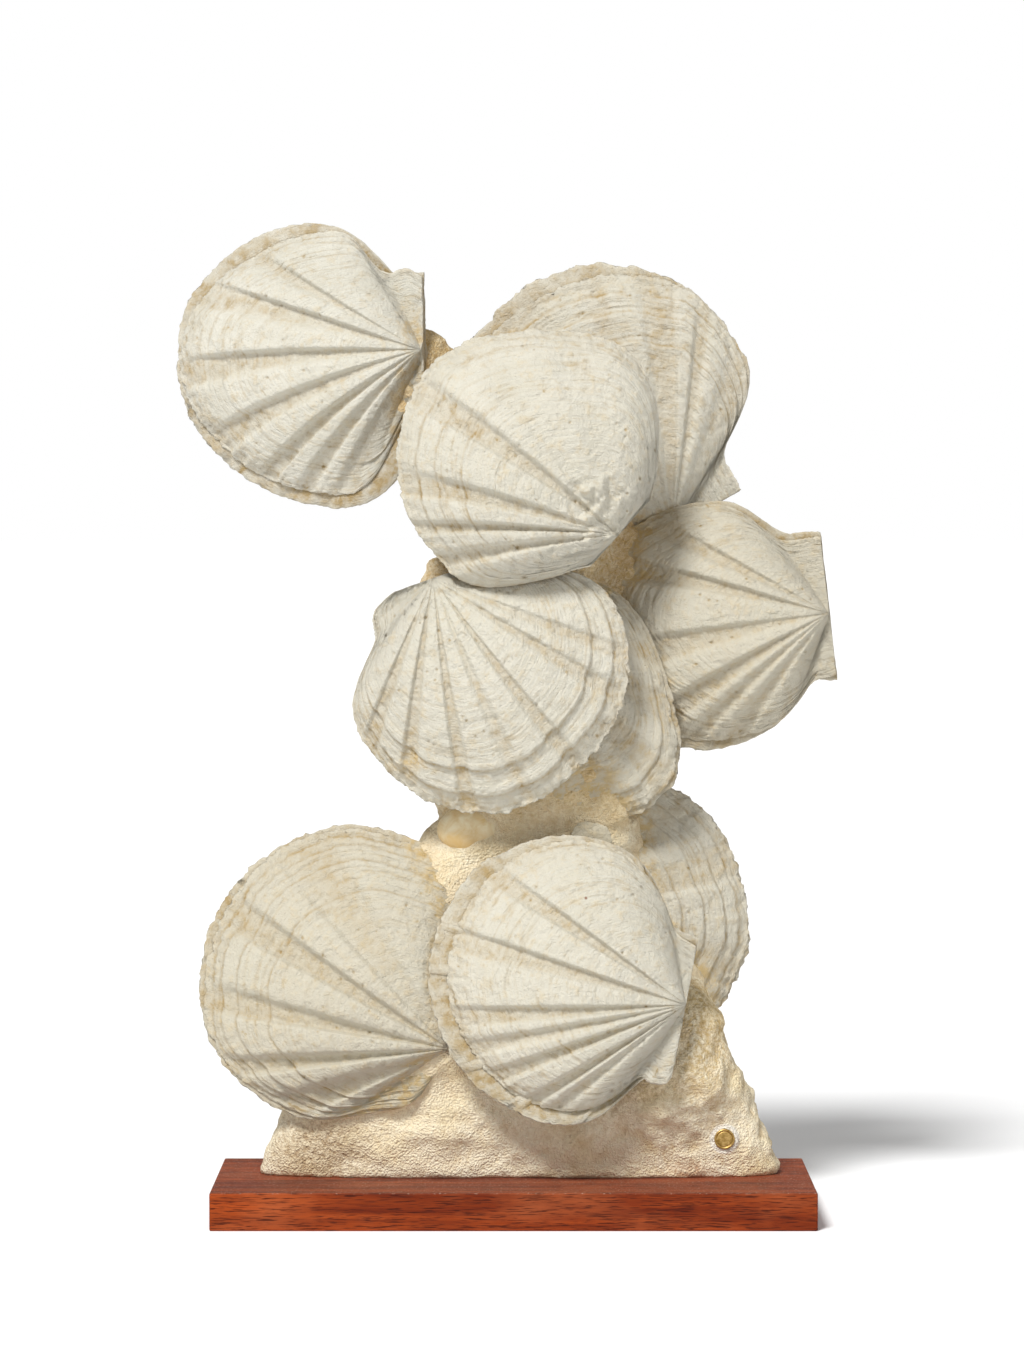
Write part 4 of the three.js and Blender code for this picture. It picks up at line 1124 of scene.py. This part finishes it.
crumbled = add(crumb_tree, "GeometryNodeSetShadeSmooth", {"Geometry": crumbled})
crumbled = add(crumb_tree, "GeometryNodeRealizeInstances", {"Geometry": crumbled})
crumbled = add(crumb_tree, "GeometryNodeSetMaterial", {"Geometry": crumbled, "Material": raw["Matrix"]})
crumb_tree.links.new(crumbled.outputs[0], crumb_result.inputs[0])
print("the crumb tree has", len(crumb_tree.nodes), "nodes")


# %% Sandy limestone material and the finished rock
# Picked and scraped limestone: dry and quite without shine, with a grain that catches the raking light.
rock_material, rock_tree, sand = new_material("sandy_limestone_matrix", Roughness=0.95)
ground = add(rock_tree, "ShaderNodeTexCoord").outputs["Object"]
crumb_at, bedded_at = (
    add(rock_tree, "ShaderNodeAttribute", attribute_name=key).outputs["Fac"] for key in ("crumb", "bedded"))
# Real sand grains are less than half a millimetre across. They are drawn coarser, so that they still show.
STAIN_MM, SPECK_MM, SAND_MM = 45, 2.8, 1.3
stains = add(rock_tree, NOISE, {"Vector": ground, "Scale": 1 / (STAIN_MM * MM), "Detail": 5.0,
                                "Roughness": 0.6})
specks = add(rock_tree, NOISE, {"Vector": ground, "Scale": 1 / (SPECK_MM * MM), "Detail": 5.0,
                                "Roughness": 0.68})
sand_grains = add(rock_tree, "ShaderNodeTexVoronoi", {"Vector": ground, "Scale": 1 / (SAND_MM * MM)})
sand_noise = add(rock_tree, NOISE, {"Vector": ground, "Scale": 1 / (SAND_MM * MM), "Detail": 3.0,
                                    "Roughness": 0.6})

stained_rock = add(rock_tree, RANGE, (stains, 0.45, 0.65, 0.0, 0.55))
rock_base = blend(rock_tree, stained_rock, "#F6ECD2", "#EBD7A8")
# The crumbs' hollows turn ochre: partly stain, partly painted shade.
hollow_stain_and_shade = add(rock_tree, RANGE, (crumb_at, -0.02, -0.3, 0.0, 0.45))
rock_base = blend(rock_tree, hollow_stain_and_shade, rock_base, "#C4A064")
speckle = add(rock_tree, RANGE, (specks, 0.36, 0.54, 0.3, 0.0))
rock_base = blend(rock_tree, speckle, rock_base, "#D0B27A")
ground_apart = add(rock_tree, "ShaderNodeSeparateXYZ", (ground,))
upper = add(rock_tree, RANGE, (ground_apart.outputs["Z"], 212 * MM, 260 * MM, 0.1, 0.6))
upper = add(rock_tree, TIMES, (upper, add(rock_tree, RANGE, (specks, 0.3, 0.65, 1.4, 0.5))), use_clamp=True)
rock_base = blend(rock_tree, upper, rock_base, "#BE9A58")
# Ochre where the rock packs against a shell: partly stain, partly painted shade in the corner between them.
bed_stain_and_shade = add(rock_tree, RANGE, (stains, 0.4, 0.6, 0.5, 0.1))
bed_stain_and_shade = add(rock_tree, TIMES, (bedded_at, bed_stain_and_shade))
rock_base = blend(rock_tree, bed_stain_and_shade, rock_base, "#C8A872")
in_front = add(rock_tree, VECTOR, (ground, (1, 0, 1)), operation="MULTIPLY")
from_disc = add(rock_tree, VECTOR, (in_front, Vector((DISC_AT[0], 0, DISC_AT[2])) * MM),
                operation="DISTANCE").outputs["Value"]


# %% Painted shade, ochre and a reddish stain on the front of the rock
def front_zone(middle, half_size):
    """1 in the middle of an oval on the front of the rock, and 0 outside it."""
    centre = Vector((middle[0], 0, middle[1])) * MM
    spread = Vector((half_size[0], 1, half_size[1])) * MM
    off_middle = add(rock_tree, VECTOR, (in_front, centre), operation="SUBTRACT")
    shares = add(rock_tree, VECTOR, (off_middle, spread), operation="DIVIDE")
    way_out = add(rock_tree, VECTOR, (shares,), operation="LENGTH").outputs["Value"]
    return add(rock_tree, RANGE, (way_out, 1.0, 0.35))


dab_back = (DISC_AT[1] + DAB_DEPTH) * MM
at_front = add(rock_tree, MATH, (ground_apart.outputs["Y"], dab_back), operation="LESS_THAN")
grime_and_shade_here = add(rock_tree, RANGE, (specks, 0.4, 0.6, 0.7, 0.15))
# The ovals, in order: ochre fibres with painted shade beside the lower front shell's hinge, the painted
# shadow of that shell below it, the painted shadow of the lower left shell at the foot's left end, and a
# reddish stain near the bottom.
FRONT_SHADE_AND_STAIN_ZONES = (((113, 112), (30, 66), "#B29252"), ((48, 80), (66, 30), "#B39B6C"),
               ((-116, 38), (36, 28), "#917250"), ((102, 26), (19, 7), "#A87048"))
for middle, half_size, colour in FRONT_SHADE_AND_STAIN_ZONES:
    grime_and_shade = add(rock_tree, TIMES, (front_zone(middle, half_size), grime_and_shade_here))
    grime_and_shade = add(rock_tree, TIMES, (grime_and_shade, at_front))
    rock_base = blend(rock_tree, grime_and_shade, rock_base, colour)
plaster = add(rock_tree, RANGE, (from_disc, (DAB_RADIUS + 1.2) * MM, DAB_RADIUS * MM, 0.0, 0.75))
plaster = add(rock_tree, TIMES, (plaster, at_front))
rock_base = blend(rock_tree, plaster, rock_base, "#EDE9DF")
rock_tree.links.new(rock_base.outputs[0], sand.inputs["Base Color"])

# %% Rock surface: sand grains, and the strokes of the tools that scraped and picked it
slanting = add(rock_tree, MINUS, (ground_apart.outputs["X"], ground_apart.outputs["Z"]))
rising = add(rock_tree, PLUS, (ground_apart.outputs["X"], ground_apart.outputs["Z"]))
STROKE_WIDTH_MM, STROKE_LENGTH_MM = 2.4, 24
stroke_place = add(rock_tree, "ShaderNodeCombineXYZ", {
    "X": add(rock_tree, TIMES, (slanting, 1 / (STROKE_WIDTH_MM * MM))),
    "Y": add(rock_tree, TIMES, (rising, 1 / (STROKE_LENGTH_MM * MM))),
    "Z": add(rock_tree, TIMES, (ground_apart.outputs["Y"], 1 / (STROKE_LENGTH_MM * MM)))})
strokes = add(rock_tree, NOISE, {"Vector": stroke_place, "Scale": 1.0, "Detail": 3.0, "Roughness": 0.6})
picked_here = add(rock_tree, RANGE, (stains, 0.5, 0.6, 0.0, 0.6))
picked = add(rock_tree, TIMES_PLUS, (strokes, picked_here, specks))
grainy = add(rock_tree, TIMES_PLUS, (sand_grains.outputs["Distance"], -0.55, picked))
grainy = add(rock_tree, TIMES_PLUS, (sand_noise, 0.6, grainy))
sandy_bump = add(rock_tree, "ShaderNodeBump", {"Height": grainy, "Strength": 0.8, "Distance": 2.4 * MM})
rock_tree.links.new(sandy_bump.outputs[0], sand.inputs["Normal"])
rock = applied(rock, crumb_tree, {"Matrix": rock_material}, "matrix_rock")
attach(rock, "root")
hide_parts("rock")
print("the rock has", len(rock.data.polygons), "faces after its crumbs")

# %% [markdown]
# ## The plinth
#
# A plain board of reddish-brown hardwood, planed and oiled, with its edges just eased. It is a box with three
# bevel steps on every edge. The grain is a row of patterns stretched along the board: broad figure, fine
# fibres, dark pores and worn patches. Pale dust from the rock has settled on the top.

# %% The plinth
PLINTH_SIZE = (350.0, 150.0, 22.0)
EASED_EDGE = 1.0
EDGE_STEPS = 3

board = bmesh.new()
bmesh.ops.create_cube(board, size=1)
bmesh.ops.scale(board, verts=board.verts, vec=[size * MM for size in PLINTH_SIZE])
bmesh.ops.translate(board, verts=board.verts, vec=(0, 0, PLINTH_SIZE[2] / 2 * MM))
bmesh.ops.bevel(board, geom=board.edges[:], offset=EASED_EDGE * MM, segments=EDGE_STEPS, profile=0.5,
                affect="EDGES")
plinth = plain_mesh("wood_plinth", [], [])
board.to_mesh(plinth.data)
board.free()
plinth.data.polygons.foreach_set("use_smooth", [False] * len(plinth.data.polygons))
print("the plinth has", len(plinth.data.polygons), "faces")

# %% Oiled hardwood material
# Planed and thinly oiled wood: the oil has sunk in, so it has a low satin sheen and deep colour.
wood, wood_tree, grain_skin = new_material("oiled_reddish_hardwood", Specular_IOR_Level=0.08)
wood_place = add(wood_tree, "ShaderNodeTexCoord").outputs["Object"]


def along_board(length_mm, width_mm):
    """Coordinates that stretch a pattern along the board's grain."""
    across_grain = 1 / (width_mm * MM)
    return add(wood_tree, "ShaderNodeMapping", {"Vector": wood_place,
                                                "Scale": (1 / (length_mm * MM), across_grain, across_grain)})


figure = add(wood_tree, NOISE, {"Vector": along_board(160, 9), "Scale": 1.0, "Detail": 5.0,
                                "Roughness": 0.6, "Distortion": 0.4})
fibre = add(wood_tree, NOISE, {"Vector": along_board(22, 0.9), "Scale": 1.0, "Detail": 3.0,
                               "Roughness": 0.6})
# Real pores are a third as wide, and real dust is much finer. Both are drawn coarser, so that they show.
pore_noise = add(wood_tree, NOISE, {"Vector": along_board(10, 0.55), "Scale": 1.0, "Detail": 2.0,
                                    "Roughness": 0.5})
worn_patch = add(wood_tree, NOISE, {"Vector": along_board(60, 25), "Scale": 1.0, "Detail": 3.0})
wood_base = blend(wood_tree, add(wood_tree, RANGE, (figure, 0.34, 0.66)), "#581D0A", "#A5491B")
wood_base = blend(wood_tree, add(wood_tree, RANGE, (fibre, 0.3, 0.7, 0.55, 0.0)), wood_base, "#6E2A14")
worn_here = add(wood_tree, RANGE, (worn_patch, 0.5, 0.7, 0.0, 0.35))
wood_base = blend(wood_tree, worn_here, wood_base, "#B0613A")
pores = add(wood_tree, RANGE, (pore_noise, 0.53, 0.64, 0.0, 0.8))
wood_base = blend(wood_tree, pores, wood_base, "#33110A")
above_board = add(wood_tree, "ShaderNodeSeparateXYZ", (wood_place,))
dusty = add(wood_tree, RANGE, (above_board.outputs["Z"], 21.2 * MM, 21.95 * MM))
DUST_MM = 1.3
dust_noise = add(wood_tree, NOISE, {"Vector": wood_place, "Scale": 1 / (DUST_MM * MM), "Detail": 2.0})
dust = add(wood_tree, RANGE, (dust_noise, 0.6, 0.7, 0.05, 0.6))
dust = add(wood_tree, TIMES, (dust, dusty))
wood_base = blend(wood_tree, dust, wood_base, "#C9B09C")
wood_tree.links.new(wood_base.outputs[0], grain_skin.inputs["Base Color"])
sheen = add(wood_tree, RANGE, (fibre, 0.3, 0.7, 0.62, 0.48))
wood_tree.links.new(sheen.outputs[0], grain_skin.inputs["Roughness"])
wood_relief = add(wood_tree, TIMES_PLUS, (pores, -1.0, fibre))
wood_bump = add(wood_tree, "ShaderNodeBump", {"Height": wood_relief, "Strength": 0.5,
                                              "Distance": 0.25 * MM})
wood_tree.links.new(wood_bump.outputs[0], grain_skin.inputs["Normal"])
plinth.data.materials.append(wood)
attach(plinth, "root")
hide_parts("plinth")
print("the wood has", len(wood_tree.nodes), "nodes")

# %% [markdown]
# ## The brass disc
#
# A small turned disc is pressed into the plaster dab at the lower right of the foot. Its field is left bare.
# It is a lathe profile: a flat field, a fine groove and a rounded rim, round an axis that points forwards.

# %% The brass disc
DISC_STEPS = 64
disc_profile = [  # radius, then how far forwards, in millimetres from the disc's back
    (0.0, 2.05), (3.9, 2.05), (4.3, 2.05), (4.45, 1.9), (4.6, 1.9), (4.75, 2.1), (4.9, 2.28), (5.15, 2.38),
    (5.45, 2.4), (5.7, 2.34), (5.88, 2.2), (5.97, 2.02), (6.0, 1.8), (6.0, 0.2), (5.8, 0.0), (0.0, 0.0)]
disc_back = DISC_AT[1] + DISC_THICKNESS / 2
ring = [k * 2 * math.pi / DISC_STEPS for k in range(DISC_STEPS)]
disc_points, disc_faces = [], []
for radius, forwards in disc_profile:
    for turn in ring if radius else ring[:1]:
        disc_points.append(((DISC_AT[0] + radius * math.cos(turn)) * MM, (disc_back - forwards) * MM,
                            (DISC_AT[2] + radius * math.sin(turn)) * MM))
for k in range(DISC_STEPS):
    after = (k + 1) % DISC_STEPS
    disc_faces.append((0, 1 + k, 1 + after))
    for row in range(len(disc_profile) - 3):
        low = 1 + row * DISC_STEPS
        disc_faces.append((low + after, low + k, low + DISC_STEPS + k, low + DISC_STEPS + after))
    low = 1 + (len(disc_profile) - 3) * DISC_STEPS
    disc_faces.append((low + after, low + k, len(disc_points) - 1))
disc = plain_mesh("brass_disc_plain", disc_points, disc_faces)

# %% Aged brass material
# Turned brass that has dulled in the air: a soft metal gleam, browner and rougher where it has tarnished.
TARNISH_MM = 2.5
brass, brass_tree, brass_skin = new_material("aged_turned_brass", Metallic=1.0)
tarnish = add(brass_tree, NOISE, {
    "Vector": add(brass_tree, "ShaderNodeTexCoord").outputs["Object"], "Scale": 1 / (TARNISH_MM * MM),
    "Detail": 5.0, "Roughness": 0.65})
bright = add(brass_tree, RANGE, (tarnish, 0.35, 0.65))
brass_colour = blend(brass_tree, bright, "#94763A", "#CDAE70")
brass_tree.links.new(brass_colour.outputs[0], brass_skin.inputs["Base Color"])
dull = add(brass_tree, RANGE, (tarnish, 0.35, 0.65, 0.55, 0.34))
brass_tree.links.new(dull.outputs[0], brass_skin.inputs["Roughness"])
disc.data.materials.append(brass)
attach(disc, "root")
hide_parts("brass_disc")
print("the disc has", len(disc.data.polygons), "faces")

# %% [markdown]
# ## A nodule and a chip in the neck
#
# Two small things are stuck in the rock between the upper and the lower shells: a smooth amber nodule that
# water has rounded, and a broken flake of another shell. Both start from a ball, which is already closed.

# %% The nodule and the chip
NODULE_SIZE, NODULE_AT = (38.0, 25.0, 28.0), (-26.0, -3.5, 226.5)
CHIP_SIZE, CHIP_AT, CHIP_TURN = (26.0, 3.0, 17.0), (46.0, -15.0, 224.0), 14.0
BALL_STEPS = 5


def ball_piece(name, size, place, turn, shape):
    """A ball of the given size in millimetres whose points are moved by a function of their unit position."""
    ball = bmesh.new()
    bmesh.ops.create_icosphere(ball, subdivisions=BALL_STEPS, radius=1)
    for vertex in ball.verts:
        vertex.co = shape(vertex.co.copy())
    bmesh.ops.scale(ball, verts=ball.verts, vec=[length / 2 * MM for length in size])
    in_place = Matrix.Translation(Vector(place) * MM) @ Matrix.Rotation(math.radians(turn), 4, "Y")
    bmesh.ops.transform(ball, matrix=in_place, verts=ball.verts)
    small_piece = plain_mesh(name, [], [])
    ball.to_mesh(small_piece.data)
    ball.free()
    small_piece.data.polygons.foreach_set("use_smooth", [True] * len(small_piece.data.polygons))
    return small_piece


def nodule_shape(p):
    """A pebble, a little flattened, with a shallow waist."""
    waist = 1 - 0.07 * math.exp(-((p.x - 0.25) / 0.2) ** 2)
    flattened = math.copysign(abs(p.y) ** 0.6, p.y)
    return Vector((p.x, flattened * waist, p.z * waist * (1 + 0.05 * math.sin(3 * p.x + 1))))


def chip_shape(p):
    """A flake with a chipped outline and three low ribs."""
    angle = math.atan2(p.z, p.x)
    chipped = 1 - 0.09 * abs(math.sin(2.5 * angle + 0.6)) - 0.04 * abs(math.sin(6.5 * angle))
    rib = 0.16 * math.sin(11 * p.x + 3 * p.z)
    return Vector((p.x * chipped, p.y * (0.8 + rib), p.z * chipped))


nodule = ball_piece("smooth_neck_nodule", NODULE_SIZE, NODULE_AT, 0, nodule_shape)
chip = ball_piece("neck_shell_flake", CHIP_SIZE, CHIP_AT, CHIP_TURN, chip_shape)

# %% Nodule material
# A water-rounded nodule: smoother than the rock round it, so its light side turns softly into its dark one.
VEIN_MM = 9
amber, amber_tree, amber_skin = new_material("water_rounded_nodule", Roughness=0.65)
amber_place = add(amber_tree, "ShaderNodeTexCoord").outputs["Object"]
veins = add(amber_tree, NOISE, {"Vector": amber_place, "Scale": 1 / (VEIN_MM * MM), "Detail": 5.0,
                                "Roughness": 0.6, "Distortion": 0.8})
veined = add(amber_tree, RANGE, (veins, 0.35, 0.65))
amber_colour = blend(amber_tree, veined, "#DBC08A", "#EDE2C2")
low_side = add(amber_tree, RANGE, (
    add(amber_tree, "ShaderNodeSeparateXYZ", (amber_place,)).outputs["Z"], (NODULE_AT[2] - 8) * MM,
    (NODULE_AT[2] + 2) * MM, 0.7, 0.0))
amber_colour = blend(amber_tree, low_side, amber_colour, "#CBA667")
amber_tree.links.new(amber_colour.outputs[0], amber_skin.inputs["Base Color"])
amber_bump = add(amber_tree, "ShaderNodeBump", {"Height": veins, "Strength": 0.6, "Distance": 1.0 * MM})
amber_tree.links.new(amber_bump.outputs[0], amber_skin.inputs["Normal"])
nodule.data.materials.append(amber)
chip.data.materials.append(shell_material)
SMALL_PIECES = ((nodule, "neck_pebble", "smooth_nodule"), (chip, "neck_shell_chip", "fossil_shell"))
for piece, node_name, slot in SMALL_PIECES:
    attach(piece, "root")
    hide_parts(node_name)
    print(piece.name, len(piece.data.polygons), "faces")
